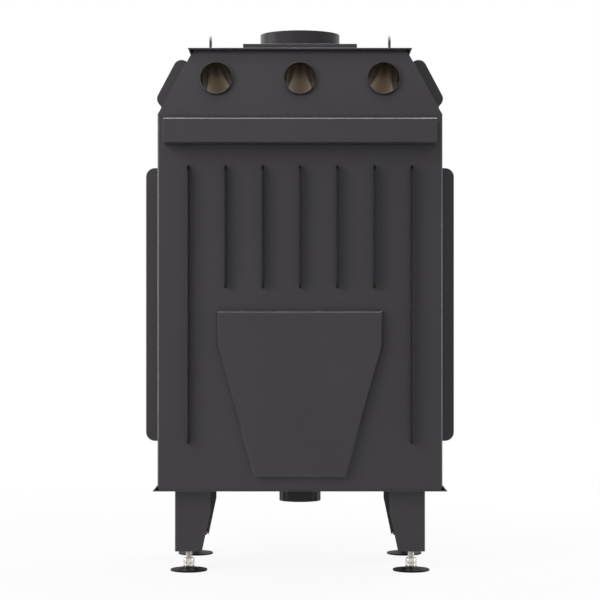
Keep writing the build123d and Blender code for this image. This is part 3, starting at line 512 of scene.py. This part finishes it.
RECIPES: Dict[Finish, Recipe] = {
    Finish.CASING: StovePaint((0.0265, 0.0236, 0.0276), (0.0335, 0.0298, 0.0348), 0.34, shine=0.34),
    # Rear fins: paint near black. This is a painted shade that makes each fin read as a dark shaded
    # line.
    Finish.FIN_PAINTED_SHADE: StovePaint((0.003, 0.0027, 0.003), (0.005, 0.0045, 0.005), 0.36, shine=0.26),
    Finish.COLLAR: StovePaint((0.026, 0.0235, 0.0268), (0.032, 0.0288, 0.0330), 0.30, shine=0.17),
    Finish.TUBE: ScaledSteel((0.042, 0.032, 0.024), (0.064, 0.049, 0.036),
                             edge=(0.41, 0.37, 0.33), paint=(0.030, 0.027, 0.031),
                             roughness=0.15),
    Finish.SPIGOT: StovePaint((0.005, 0.0045, 0.0045), (0.008, 0.007, 0.007), 0.18,
                              ripple_depth=0.02 * MM, grain_depth=0.01 * MM, spread=0.03,
                              shine=0.2),
    Finish.FIREBOX: StovePaint((0.045, 0.040, 0.037), (0.075, 0.066, 0.060), 0.62,
                               grain=1.6 * MM, grain_depth=0.12 * MM, spread=0.10),
    Finish.ZINC: PlatedSteel((0.62, 0.61, 0.60), (0.50, 0.47, 0.42)),
    Finish.PAD: MouldedPlastic((0.003, 0.003, 0.0033), (0.005, 0.005, 0.0053), 0.5, shine=0.09),
    Finish.BOARD: FireBoard((0.56, 0.46, 0.32), (0.70, 0.60, 0.44), (0.20, 0.16, 0.12)),
    Finish.GRATE: CastIron((0.040, 0.038, 0.037), (0.085, 0.078, 0.072)),
    Finish.DOOR: CastIron((0.026, 0.026, 0.028), (0.036, 0.036, 0.038), 0.5,
                          pit=1.3 * MM, depth=0.09 * MM),
    Finish.GLASS: CeramicGlass((0.93, 0.90, 0.86)),
    Finish.ROPE: GlassRope((0.055, 0.053, 0.052), (0.16, 0.155, 0.15)),
    Finish.HANDLE: PlatedSteel((0.52, 0.52, 0.53), (0.45, 0.44, 0.43),
                               stretch=(1.0, 1.0, 0.03), roughness=0.26),
    Finish.KNOB: MouldedPlastic((0.011, 0.011, 0.012), (0.02, 0.02, 0.021), 0.34),
}


# Workshop

@dataclass
class Run:
    """A line of points with a radius at each, which becomes a string of metal or rope."""

    points: List[Vector]
    radii: List[float]
    closed: bool = False


def placed(name: str, data: Any) -> Object:
    """Return a new object that holds the data and is in the scene."""
    thing = bpy.data.objects.new(name, data)
    bpy.context.scene.collection.objects.link(thing)
    return thing


def corners(node: str) -> Box:
    """Return the lowest and highest corner of a CAD node."""
    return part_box(node)


def sharp_edges(bm: BMesh) -> List[BMEdge]:
    """Return the edges whose two faces meet at more than the sharp angle."""
    return [edge for edge in bm.edges
            if len(edge.link_faces) == 2 and edge.calc_face_angle(0.0) > SHARP_ANGLE]


def round_edges(bm: BMesh, edges: List[BMEdge], radius: float, segments: int) -> None:
    """Ease edges of a bmesh by a radius in metres, with some faces across each."""
    bmesh.ops.bevel(bm, geom=edges, offset=radius, offset_type="OFFSET", segments=segments,
                    profile=ARC_PROFILE, affect="EDGES", clamp_overlap=True, material=-1)


@dataclass
class Workshop:
    """Keeps the frame and the finishes, and turns meshes into pieces that ride on bodies."""

    frame: Dict[str, Any]
    paints: Dict[Finish, Material] = field(default_factory=dict)

    def __post_init__(self) -> None:
        """Look up each node's body and finish."""
        record = self.frame["record"]
        bodies = record["behaviour"]["bodies"]
        self.body_of = {node: body for body, nodes in bodies.items() for node in nodes}
        self.slot_of = {part["node"]: part["material_slot"] for part in record["subparts"]}

    def paint(self, finish: Finish) -> Material:
        """Return a finish's material, made the first time it is asked for."""
        if finish not in self.paints:
            kit = SurfaceKit(finish.value)
            RECIPES[finish].build(kit)
            self.paints[finish] = kit.material
        return self.paints[finish]

    def points(self, node: str) -> List[Vector]:
        """Return the points of a CAD node."""
        return [vert.co for vert in self.frame["nodes"][node].data.vertices]

    def top_points(self, node: str) -> List[Vector]:
        """Return the points at the top of a CAD node."""
        points = self.points(node)
        top = max(point.z for point in points)
        return [point for point in points if point.z > top - ON_LEVEL]

    def merged(self, node: str) -> BMesh:
        """Return a CAD node's shape with its points merged and its flat faces whole."""
        bm = bmesh.new()
        bm.from_mesh(self.frame["nodes"][node].data)
        bmesh.ops.remove_doubles(bm, verts=bm.verts, dist=SAME_POINT)
        bmesh.ops.dissolve_limit(bm, angle_limit=FLAT_ANGLE, verts=bm.verts, edges=bm.edges)
        return bm

    def solids(self, node: str) -> List[Box]:
        """Return the box of each separate solid in a CAD node, by its lowest X, then Y, then Z."""
        bm = self.merged(node)
        left = set(bm.verts)
        boxes = []
        while left:
            stack, points = [left.pop()], []
            while stack:
                vert = stack.pop()
                points.append(vert.co.copy())
                near = {edge.other_vert(vert) for edge in vert.link_edges} & left
                left -= near
                stack.extend(near)
            low, high = (Vector(pick(point[axis] for point in points) for axis in range(3))
                         for pick in (min, max))
            boxes.append((low, high))
        bm.free()
        return sorted(boxes, key=lambda box: tuple(round(value, 5) for value in box[0]))

    def mesh(self, bm: BMesh, name: str) -> Mesh:
        """Close a bmesh into a smooth mesh whose sharp edges stay crisp."""
        mesh = bpy.data.meshes.new(name)
        for face in bm.faces:
            face.smooth = True
        bm.to_mesh(mesh)
        bm.free()
        mesh.set_sharp_from_angle(angle=SHADING_ANGLE)
        return mesh

    def strings(self, runs: Sequence[Run], name: str) -> Mesh:
        """Make round strings along runs of points.

        Args:
            runs: the runs, each with its own points and thicknesses.
            name: name of the mesh.

        Returns:
            One mesh of all strings.
        """
        curve = bpy.data.curves.new(name, "CURVE")
        curve.dimensions = "3D"
        curve.bevel_depth = 1.0
        curve.bevel_resolution = 1
        curve.use_fill_caps = True
        for run in runs:
            spline = curve.splines.new("POLY")
            spline.points.add(len(run.points) - 1)
            spline.use_cyclic_u = run.closed
            for target, place, thick in zip(spline.points, run.points, run.radii):
                target.co = (*place, 1.0)
                target.radius = thick
        holder = placed(name, curve)
        bpy.context.view_layer.update()
        graph = bpy.context.evaluated_depsgraph_get()
        mesh = bpy.data.meshes.new_from_object(holder.evaluated_get(graph))
        bpy.data.objects.remove(holder)
        bpy.data.curves.remove(curve)
        for polygon in mesh.polygons:
            polygon.use_smooth = True
        return mesh

    def stand(self, mesh: Mesh, name: str, body: str, finish: Finish,
              *replaced: str) -> Object:
        """Turn a mesh into a piece on a body.

        Args:
            mesh: the finished mesh, in the row frame.
            name: the piece's name.
            body: the CAD body that it rides on.
            finish: its finish.
            replaced: CAD nodes that it stands for.

        Returns:
            The piece.
        """
        mesh.name = name
        mesh.materials.clear()
        mesh.materials.append(self.paint(finish))
        piece = placed(name, mesh)
        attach(piece, body)
        finish.slot
        if replaced:
            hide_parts(*replaced)
        LOG.info("%s: %d faces on %s", name, len(mesh.polygons), body)
        return piece

    def ease(self, radius: float, *nodes: str, segments: int = 2,
             finish: Optional[Finish] = None) -> None:
        """Stand copies with rounded edges in the place of CAD nodes.

        Args:
            radius: how far each sharp edge is eased, in metres.
            nodes: the CAD nodes.
            segments: faces across an eased edge.
            finish: another finish than the record's, or None.
        """
        for node in nodes:
            bm = self.merged(node)
            round_edges(bm, sharp_edges(bm), radius, segments)
            name = node + "_finished"
            piece = self.stand(self.mesh(bm, name), name, self.body_of[node],
                               finish or Finish(self.slot_of[node]), node)
            even = piece.modifiers.new("even_normals", "WEIGHTED_NORMAL")
            even.weight = 100
            even.keep_sharp = True

    def weld(self, beads: Sequence[Run], name: str) -> None:
        """Stand weld beads, painted with the casing, as one piece."""
        self.stand(self.strings(beads, name), name, "root", Finish.CASING)


@dataclass(frozen=True)
class WeldMaker:
    """Lays rippled weld beads along lines and rings."""

    radius: float = 1.7 * MM
    pitch: float = 2.6 * MM        # length of a ripple
    ripple: float = 0.18           # how much it swells the bead, as a share of the radius
    wander: float = 0.06           # how much the bead's width wanders, as a share of the radius
    rates: Tuple[float, float] = (310.0, 93.0)  # of that wandering, in radians per metre
    tip: float = 0.35              # width at an end, as a share of the full width
    taper: float = 2.5 * MM        # length over which an end would gain a full width
    step: float = 1.1 * MM         # distance between the bead's points

    def along(self, path: Callable[[float], Vector], length: float, closed: bool = False) -> Run:
        """Lay a bead along a path.

        Args:
            path: gives the point at a share 0 to 1 of the way.
            length: the path's length in metres.
            closed: whether its end meets its start.

        Returns:
            The bead as a run.
        """
        count = max(4, int(length / self.step))
        waves = max(1, round(length / self.pitch))
        fast, slow = self.rates
        points, radii = [], []
        for index in range(count if closed else count + 1):
            share = index / count
            points.append(path(share))
            swell = 1.0 + self.ripple * (abs(sin(pi * waves * share)) - 0.5)
            wander = 1.0 + self.wander * sin(share * length * fast) * cos(share * length * slow)
            from_end = min(share, 1 - share) * length
            ending = 1.0 if closed else min(1.0, self.tip + from_end / self.taper)
            radii.append(self.radius * swell * wander * ending)
        return Run(points, radii, closed)

    def straight(self, start: Vector, end: Vector) -> Run:
        """Lay a straight bead between two points."""
        return self.along(lambda share: start.lerp(end, share), (end - start).length)

    def ring(self, middle: Vector, axis: Vector, radius: float, point: Vector,
             normal: Vector) -> Run:
        """Lay a bead where a round tube passes a plane.

        Args:
            middle: a point on the tube's axis.
            axis: the tube's direction, which isn't along X.
            radius: the tube's outer radius.
            point: a point of the plane.
            normal: the plane's normal.

        Returns:
            A closed bead.
        """
        across = Vector((1.0, 0.0, 0.0))
        upward = axis.cross(across).normalized()

        def path(share: float) -> Vector:
            """Return the seam's point at a share of a turn."""
            turn = 2 * pi * share
            side = middle + (across * cos(turn) + upward * sin(turn)) * radius
            return side + axis * ((point - side).dot(normal) / axis.dot(normal))

        return self.along(path, 2 * pi * radius, closed=True)

    def stitches(self, start: Vector, end: Vector, length: float, gap: float) -> List[Run]:
        """Lay short beads with gaps between them, centred on a line.

        Args:
            start: one end of the line.
            end: its other end.
            length: length of a bead.
            gap: distance between two beads.

        Returns:
            The beads.
        """
        whole = (end - start).length
        count = max(1, int((whole + gap) / (length + gap)))
        first = (whole - count * length - (count - 1) * gap) / 2
        beads = []
        for index in range(count):
            low = (first + index * (length + gap)) / whole
            high = low + length / whole
            beads.append(self.straight(start.lerp(end, low), start.lerp(end, high)))
        return beads


# Sub-assemblies

@dataclass
class Casing:
    """Walls, hood, plates, flue collar and the welds that join them."""

    shop: Workshop
    welds: WeldMaker = WeldMaker()
    end_gap: float = 2 * MM
    sink: float = 0.7 * MM

    def build(self) -> None:
        """Dress the casing and lay its welds."""
        self.shop.ease(0.9 * MM, "rear_wall", "side_wall_left", "side_wall_right")
        self.shop.ease(0.25 * MM, "hood_rear_panel", "hood_front_panel", "hood_side_left",
                       "hood_side_right", segments=1)
        self.shop.ease(0.8 * MM, "base_plate", "top_plate", "cross_channel", "flue_riser",
                       "lifting_lugs")
        self.shop.ease(0.8 * MM, "flue_collar", finish=Finish.COLLAR)
        beads = self.hood_seams() + self.riser_seams() + self.collar_ring() + self.lug_seams()
        self.shop.weld(beads, "casing_welds")

    def hood_seams(self) -> List[Run]:
        """Return the beads down the hood's two front corners. The rear ones are ground flush."""
        low, high = corners("hood_front_panel")
        top_x = max(point.x for point in self.shop.top_points("hood_rear_panel"))
        top_y = min(point.y for point in self.shop.top_points("hood_front_panel"))
        beads = []
        for side in (-1, 1):
            start = Vector((side * high.x, low.y, low.z + self.end_gap))
            end = Vector((side * top_x, top_y, high.z - self.end_gap))
            inward = Vector((-side, 1, 0)) * self.sink
            beads.append(self.welds.straight(start + inward, end + inward))
        return beads

    def riser_seams(self) -> List[Run]:
        """Return the beads round the foot of the flue riser."""
        low, high = corners("flue_riser")
        ring = [Vector((low.x, low.y, low.z)), Vector((high.x, low.y, low.z)),
                Vector((high.x, high.y, low.z)), Vector((low.x, high.y, low.z))]
        return [self.welds.straight(start, end) for start, end in zip(ring, ring[1:] + ring[:1])]

    def collar_ring(self) -> List[Run]:
        """Return the bead round the foot of the flue collar."""
        low, high = corners("flue_collar")
        foot = Vector(((low.x + high.x) / 2, (low.y + high.y) / 2, low.z))
        up = Vector((0.0, 0.0, 1.0))
        return [self.welds.ring(foot, up, (high.x - low.x) / 2, foot, up)]

    def lug_seams(self) -> List[Run]:
        """Return the beads along both sides of each lifting lug."""
        beads = []
        for low, high in self.shop.solids("lifting_lugs"):
            for x in (low.x, high.x):
                beads.append(self.welds.straight(Vector((x, low.y + self.end_gap, low.z)),
                                                 Vector((x, high.y - self.end_gap, low.z))))
        return beads


@dataclass
class Fins:
    """Cooling fins and their stitch welds."""

    shop: Workshop
    welds: WeldMaker = WeldMaker(radius=1.5 * MM)
    stitch: float = 30 * MM
    gap: float = 110 * MM
    end_gap: float = 6 * MM

    def build(self) -> None:
        """Dress the fins, and weld the rear and side fins to the walls on both of their faces."""
        # The rear fins take the near-black paint, which is painted shade and far darker than the
        # casing they stand on.
        self.shop.ease(0.9 * MM, "rear_fins", finish=Finish.FIN_PAINTED_SHADE)
        self.shop.ease(0.8 * MM, "side_fins", "hood_fins")
        beads: List[Run] = []
        for low, high in self.shop.solids("rear_fins"):
            for x in (low.x, high.x):
                beads += self.seam(x, low.y, low.z, high.z)
        for low, high in self.shop.solids("side_fins"):
            x = high.x if high.x < 0 else low.x
            for y in (low.y, high.y):
                beads += self.seam(x, y, low.z, high.z)
        self.shop.weld(beads, "fin_welds")

    def seam(self, x: float, y: float, low_z: float, high_z: float) -> List[Run]:
        """Return the short beads up one face of a fin, between two levels."""
        return self.welds.stitches(Vector((x, y, low_z + self.end_gap)),
                                   Vector((x, y, high_z - self.end_gap)), self.stitch, self.gap)


@dataclass
class AirTubes:
    """The three tubes through the hood, with a ring weld at each end."""

    shop: Workshop
    welds: WeldMaker = WeldMaker(radius=1.6 * MM)

    def build(self) -> None:
        """Dress the tubes and weld them to the hood's rear and front panels."""
        mounts = {mount["name"]: mount for mount in self.shop.frame["record"]["mounts"]}
        beads: List[Run] = []
        for node in ("air_tube_left", "air_tube_centre", "air_tube_right"):
            self.shop.ease(0.7 * MM, node)
            low, high = corners(node)
            middle = Vector(mounts[node]["pos_m"])
            axis = Vector(mounts[node]["axis"]).normalized()
            for side, panel in ((1, "hood_rear_panel"), (-1, "hood_front_panel")):
                point, normal = self.panel_plane(panel, side)
                radius = (high.x - low.x) / 2
                beads.append(self.welds.ring(middle, axis, radius, point, normal))
        self.shop.weld(beads, "tube_welds")

    def panel_plane(self, panel: str, side: int) -> Tuple[Vector, Vector]:
        """Find the plane of a hood panel's outer face.

        Args:
            panel: the panel's CAD node.
            side: 1 where it faces +Y, -1 where it faces -Y.

        Returns:
            A point of the plane and its outward normal.
        """
        points = self.shop.points(panel)
        low_z, high_z = min(point.z for point in points), max(point.z for point in points)
        low_y = side * max(side * point.y for point in points if point.z < low_z + ON_LEVEL)
        high_y = side * max(side * point.y for point in points if point.z > high_z - ON_LEVEL)
        along = Vector((0.0, high_y - low_y, high_z - low_z)).normalized()
        return Vector((0.0, low_y, low_z)), Vector((0.0, along.z, -along.y)) * side


@dataclass
class AirSupply:
    """Rear duct cover, inlet spigot, and the air box with its slide."""

    shop: Workshop
    welds: WeldMaker = WeldMaker(radius=1.3 * MM)
    side_stitch: Tuple[float, float] = (22 * MM, 30 * MM)
    top_stitch: Tuple[float, float] = (25 * MM, 70 * MM)

    def build(self) -> None:
        """Dress the air supply and lay the welds round the duct cover."""
        self.shop.ease(0.7 * MM, "rear_duct_cover")
        self.shop.ease(0.6 * MM, "air_inlet_spigot")
        self.shop.ease(0.4 * MM, "air_box", "air_damper")
        self.shop.ease(0.5 * MM, "air_lever_rod")
        self.shop.ease(0.3 * MM, "air_lever_knob")
        self.shop.weld(self.cover_stitches(), "duct_cover_welds")

    def cover_stitches(self) -> List[Run]:
        """Return the short beads along the duct cover's upright sides and its top."""
        low, high = corners("rear_duct_cover")
        shoulder = min(point.z for point in self.shop.points("rear_duct_cover")
                       if point.x > high.x - ON_LEVEL)
        beads = []
        for x in (low.x, high.x):
            beads += self.welds.stitches(Vector((x, low.y, shoulder)),
                                         Vector((x, low.y, high.z)), *self.side_stitch)
        beads += self.welds.stitches(Vector((low.x, low.y, high.z)),
                                     Vector((high.x, low.y, high.z)), *self.top_stitch)
        return beads


@dataclass
class Legs:
    """Bent legs, their bolts, and the levelling feet with threaded studs."""

    shop: Workshop
    crest: float = 8.0 * MM        # outer radius of a stud's thread
    thread_depth: float = 1.0 * MM
    pitch: float = 2.0 * MM        # height of one turn
    steps: int = 28                # faces round a turn
    nut_reach: float = 9.5 * MM    # only a hexagon's corners are further from the axis
    cut: float = 0.1 * MM          # height above the lock nut where the plain stud ends
    sink: float = 2.0 * MM         # depth inside the lock nut where the thread starts
    run_out: float = 1.2 * MM      # plain length at the top
    chamfer: float = 0.8 * MM
    merge: float = 0.001 * MM      # the thread's points closer than this are one point

    def build(self) -> None:
        """Dress the legs and feet."""
        self.shop.ease(0.7 * MM, "rear_legs", "front_legs")
        self.shop.ease(0.25 * MM, "leg_bolts", segments=1)
        for foot in ("front_left", "front_right", "rear_left", "rear_right"):
            self.shop.ease(0.9 * MM, "foot_pad_" + foot)
            self.build_stud(foot)

    def build_stud(self, foot: str) -> None:
        """Stand a threaded stud, its hexagon and its lock nut in the place of the plain ones."""
        node = "foot_stud_" + foot
        body = "foot_" + foot
        low, high = corners(node)
        middle = (low + high) / 2
        hexes = self.shop.merged(node)
        nut_top = max(vert.co.z for vert in hexes.verts
                      if hypot(vert.co.x - middle.x, vert.co.y - middle.y) > self.nut_reach)
        bmesh.ops.bisect_plane(hexes, geom=hexes.verts[:] + hexes.edges[:] + hexes.faces[:],
                               plane_co=(0, 0, nut_top + self.cut), plane_no=(0, 0, 1),
                               clear_outer=True)
        bmesh.ops.holes_fill(hexes, edges=hexes.edges[:], sides=0)
        round_edges(hexes, sharp_edges(hexes), 0.3 * MM, 1)
        self.shop.stand(self.shop.mesh(hexes, "hex"), node + "_hexagons", body, Finish.ZINC, node)
        start = nut_top - self.sink
        thread = self.thread(Vector((middle.x, middle.y, start)), high.z - start)
        self.shop.stand(thread, node + "_thread", body, Finish.ZINC)

    def thread(self, foot: Vector, length: float) -> Mesh:
        """Make a threaded stud.

        Args:
            foot: middle of its lower end.
            length: full length upwards.

        Returns:
            The mesh.
        """
        root = self.crest - self.thread_depth
        turns = int((length - self.run_out) / self.pitch)
        bm = bmesh.new()
        profile = [(root, 0.0), (self.crest, 0.42), (self.crest, 0.58), (root, 1.0)]
        verts = [bm.verts.new((foot.x + radius, foot.y, foot.z + share * self.pitch))
                 for radius, share in profile]
        edges = [bm.edges.new(pair) for pair in zip(verts, verts[1:])]
        bmesh.ops.spin(bm, geom=verts + edges, cent=foot, axis=(0, 0, 1),
                       dvec=(0, 0, self.pitch / self.steps), angle=2 * pi * (turns - 1),
                       steps=self.steps * (turns - 1), use_merge=False, use_duplicate=False)
        bmesh.ops.remove_doubles(bm, verts=bm.verts, dist=self.merge)
        core = root * 0.999
        middle = Matrix.Translation((foot.x, foot.y, foot.z + length / 2))
        made = bmesh.ops.create_cone(bm, cap_ends=True, segments=self.steps, radius1=core,
                                     radius2=core, depth=length, matrix=middle)
        top = foot.z + length - self.merge
        rim = [edge for edge in bm.edges
               if all(vert in made["verts"] and vert.co.z > top for vert in edge.verts)]
        round_edges(bm, rim, self.chamfer, 1)
        bmesh.ops.recalc_face_normals(bm, faces=bm.faces)
        return self.shop.mesh(bm, "thread")


@dataclass
class Door:
    """Front frame, glazed door with its rope seal and clips, hinges, strike and handle."""

    shop: Workshop
    strands: int = 3
    strand: float = 2.35 * MM      # radius of a strand
    offset: float = 2.35 * MM      # from the rope's middle to a strand's middle
    lay: float = 26 * MM           # length of rope over which a strand goes round once
    lay_points: int = 12
    corner: float = 14 * MM        # radius of the rope's bends
    screw_radius: float = 2.6 * MM
    screw_height: float = 1.4 * MM
    screw_shift: float = 3.0 * MM  # from a clip's middle, away from the glass

    def build(self) -> None:
        """Dress the door and what carries it."""
        self.shop.ease(0.9 * MM, "front_frame")
        self.shop.ease(1.0 * MM, "door_frame")
        self.shop.ease(0.6 * MM, "door_glass")
        self.shop.ease(0.3 * MM, "glass_clips", segments=1)
        self.shop.ease(0.8 * MM, "door_knuckles", "hinge_lugs")
        self.shop.ease(1.0 * MM, "hinge_pins")
        self.shop.ease(0.7 * MM, "strike_plate")
        self.shop.ease(1.1 * MM, "door_handle", segments=3)
        self.shop.ease(0.5 * MM, "latch_spindle")
        self.build_rope()
        self.build_screws()

    def rim_point(self, along: float, half_x: float, half_z: float) -> Tuple[Vector, Vector]:
        """Walk round a rectangle with rounded corners.

        Args:
            along: distance from the middle of its right side, anticlockwise, in metres.
            half_x: half of its width.
            half_z: half of its height.

        Returns:
            The point (X, 0, Z) and the outward direction there.
        """
        r = self.corner
        arc = pi * r / 2
        straight = [2 * (half_z - r), 2 * (half_x - r)] * 2
        centres = [(1, 1), (-1, 1), (-1, -1), (1, -1)]
        along = (along + half_z - r) % (sum(straight) + 4 * arc)
        quarter = 0
        while quarter < 3 and along > straight[quarter] + arc:
            along -= straight[quarter] + arc
            quarter += 1
        past = along - straight[quarter]
        turn = quarter * pi / 2 + max(past, 0.0) / r
        out = Vector((cos(turn), 0.0, sin(turn)))
        forward = Vector((-sin(turn), 0.0, cos(turn)))
        side_x, side_z = centres[quarter]
        centre = Vector((side_x * (half_x - r), 0.0, side_z * (half_z - r)))
        return centre + out * r + forward * min(past, 0.0), out

    def build_rope(self) -> None:
        """Lay a twisted rope in the door's groove."""
        low, high = corners("door_seal")
        widths = [abs(point.x) for point in self.shop.points("door_seal")]
        half_rope = (max(widths) - min(widths)) / 2
        half_x = high.x - half_rope
        half_z = (high.z - low.z) / 2 - half_rope
        middle = Vector((0.0, (low.y + high.y) / 2, (low.z + high.z) / 2))
        thick = min(self.strand, (high.y - low.y) / 2 - self.offset)
        around = 4 * (half_x + half_z) - (8 - 2 * pi) * self.corner
        turns = round(around / self.lay)
        count = turns * self.lay_points
        runs = []
        for strand in range(self.strands):
            points = []
            for index in range(count):
                share = index / count
                place, out = self.rim_point(share * around, half_x, half_z)
                phase = 2 * pi * (share * turns + strand / self.strands)
                shift = out * cos(phase) + Vector((0.0, sin(phase), 0.0))
                points.append(middle + place + shift * self.offset)
            runs.append(Run(points, [thick] * count, closed=True))
        self.shop.stand(self.shop.strings(runs, "rope_seal"), "rope_seal", "door", Finish.ROPE,
                        "door_seal")

    def build_screws(self) -> None:
        """Put a socket screw in each glass clip."""
        glass_low, glass_high = corners("door_glass")
        glass_z = (glass_low.z + glass_high.z) / 2
        bm = bmesh.new()
        for low, high in self.shop.solids("glass_clips"):
            centre = (low + high) / 2
            if high.x - low.x > high.z - low.z:
                centre.z += self.screw_shift if centre.z > glass_z else -self.screw_shift
            else:
                centre.x += self.screw_shift if centre.x > 0 else -self.screw_shift
            self.screw(bm, Vector((centre.x, high.y, centre.z)))
        self.shop.stand(self.shop.mesh(bm, "screws"), "clip_screws", "door", Finish.ZINC)

    def screw(self, bm: BMesh, seat: Vector) -> None:
        """Add a tapered screw head with a round socket, facing +Y.

        Args:
            bm: where it is added.
            seat: middle of its seat.
        """
        radius, height = self.screw_radius, self.screw_height
        turn = Matrix.Rotation(radians(-90), 4, "X")
        place = Matrix.Translation(seat + Vector((0, height / 2, 0))) @ turn
        made = bmesh.ops.create_cone(bm, cap_ends=True, segments=24, radius1=radius,
                                     radius2=radius * 0.86, depth=height, matrix=place)
        top = max({face for vert in made["verts"] for face in vert.link_faces},
                  key=lambda face: face.calc_center_median().y)
        bmesh.ops.inset_region(bm, faces=[top], thickness=radius * 0.42, depth=0.0)
        inner = bmesh.ops.extrude_face_region(bm, geom=[top])
        deep = [part for part in inner["geom"] if isinstance(part, BMVert)]
        bmesh.ops.translate(bm, verts=deep, vec=(0, -height * 0.55, 0))
        bmesh.ops.delete(bm, geom=[top], context="FACES_ONLY")
        bmesh.ops.recalc_face_normals(bm, faces=bm.faces)


@dataclass
class Firebox:
    """Boards, bricks, grate, baffles and the plates that hold them."""

    shop: Workshop

    def build(self) -> None:
        """Dress the firebox."""
        self.shop.ease(1.2 * MM, "floor_bricks", "side_lining", "rear_lining", "lower_baffle")
        self.shop.ease(1.1 * MM, "grate")
        self.shop.ease(0.6 * MM, "hearth_plate", "upper_baffle", "baffle_brackets",
                       "air_wash_strip", "log_guard")


@dataclass
class AshDrawer:
    """Drawer pan, front, knob and rails."""

    shop: Workshop

    def build(self) -> None:
        """Dress the drawer."""
        self.shop.ease(0.35 * MM, "ash_drawer", segments=1)
        self.shop.ease(0.8 * MM, "ash_drawer_front")
        self.shop.ease(0.5 * MM, "drawer_rails")


# Stage

@dataclass(frozen=True)
class Studio:
    """Camera, lamps, pale floor and white surroundings."""

    camera: Place = (0.0, 4.904, 0.662)
    lens: float = 116.1            # focal length in millimetres
    sensor: float = 36.0           # the sensor's width in millimetres
    aim: Place = (0.0, 0.0, 0.7)   # what every lamp faces
    sky: Colour = (0.985, 0.985, 1.0)
    sky_strength: float = 0.36
    floor_half: float = 12.0
    floor_colour: Colour = (0.86, 0.86, 0.86)
    shade: float = 0.10            # share of the floor's own shading that the camera sees
    shade_reach: Tuple[float, float] = (0.7, 2.2)  # from the middle, where that share fades

    def build(self) -> None:
        """Set up the picture."""
        self.build_camera()
        self.build_world()
        self.build_floor()
        for name, place in (("key", (1.9, 2.3, 1.8)), ("front_key", (-1.9, -2.3, 1.8))):
            key = self.lamp(name, place, 1.8, 74.0)
            key.visible_glossy = False
        self.lamp("front_fill", (3.2, -3.0, 1.8), 2.6, 12.0)
        self.card("top_card", (0.0, -0.2, 3.3), 3.0, 10.5, (1.0, 0.99, 1.0))
        self.card("left_card", (3.4, 0.0, 0.7), 1.8, 8.0, (1.0, 0.94, 0.89))
        self.card("right_card", (-3.4, 0.0, 0.4), 1.5, 8.0, (0.97, 0.98, 1.0))

    def build_camera(self) -> None:
        """Put the camera behind the insert, level, as in the photograph."""
        data = bpy.data.cameras.new("camera")
        data.lens = self.lens
        data.sensor_width = self.sensor
        camera = placed("camera", data)
        camera.location = self.camera
        camera.rotation_euler = (radians(90), 0.0, radians(180))
        bpy.context.scene.camera = camera

    def build_world(self) -> None:
        """Make soft light from all round, white where the camera or a reflection sees it."""
        world = bpy.data.worlds.new("studio")
        bpy.context.scene.world = world
        world.use_nodes = True
        kit = NodeKit(world.node_tree)
        soft = kit.node("ShaderNodeBackground", {},
                        {"Color": self.sky, "Strength": self.sky_strength})
        white = kit.node("ShaderNodeBackground", {}, {"Color": WHITE, "Strength": 1.0})
        seen = kit.rays("Camera").larger(kit.mirrored())
        kit.node("ShaderNodeOutputWorld", {}, {0: kit.mixed(seen, soft, white)})

    def build_floor(self) -> None:
        """Lay a pale floor that keeps a faint shadow."""
        bm = bmesh.new()
        bmesh.ops.create_grid(bm, x_segments=1, y_segments=1, size=self.floor_half)
        mesh = bpy.data.meshes.new("floor")
        bm.to_mesh(mesh)
        bm.free()
        kit = SurfaceKit("floor")
        kit.wire(Base_Color=self.floor_colour, Roughness=0.9, Specular_IOR_Level=0.1)
        glow = kit.node("ShaderNodeEmission", {}, {"Color": WHITE, "Strength": 1.0})
        far = kit.signal("ShaderNodeVectorMath", {"operation": "LENGTH"}, {0: kit.place}, "Value")
        glowing = far.clipped(*self.shade_reach) * self.shade + (1.0 - self.shade)
        seen = (kit.rays("Camera") * glowing).larger(kit.mirrored())
        kit.set(kit.output.inputs[0], kit.mixed(seen, kit.shader, glow))
        mesh.materials.append(kit.material)
        floor = placed("floor", mesh)

    def lamp(self, name: str, place: Place, size: float, power: float) -> Object:
        """Hang a square soft lamp that faces the middle of the insert.

        Args:
            name: the lamp's name.
            place: its middle.
            size: its width and height in metres.
            power: its power in watts.

        Returns:
            The lamp.
        """
        data = bpy.data.lights.new(name, "AREA")
        data.size = size
        data.energy = power
        lamp = placed(name, data)
        lamp.location = place
        towards = Vector(self.aim) - Vector(place)
        lamp.rotation_euler = towards.to_track_quat("-Z", "Y").to_euler()
        lamp.visible_camera = False
        return lamp

    def card(self, name: str, place: Place, size: float, level: float, colour: Colour) -> None:
        """Hang a bright card that only reflections see, for the light on rounded edges.

        Args:
            name: the card's name.
            place: its middle.
            size: its width and height in metres.
            level: its brightness, where white paper is 1.
            colour: its tint.
        """
        card = self.lamp(name, place, size, level * pi * size * size)
        card.data.color = colour
        card.visible_diffuse = False
        card.visible_transmission = False


def main() -> None:
    """Load the frame, dress every sub-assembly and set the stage."""
    logging.basicConfig(level=logging.INFO, format="%(name)s: %(message)s")
    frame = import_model()
    bpy.context.scene.view_settings.view_transform = "Standard"
    shop = Workshop(frame)
    for assembly in (Casing(shop), Fins(shop), AirTubes(shop), AirSupply(shop), Legs(shop),
                     Door(shop), Firebox(shop), AshDrawer(shop)):
        LOG.info("building %s", type(assembly).__name__)
        assembly.build()
    Studio().build()
    bpy.context.view_layer.update()


if __name__ == "__main__":
    main()
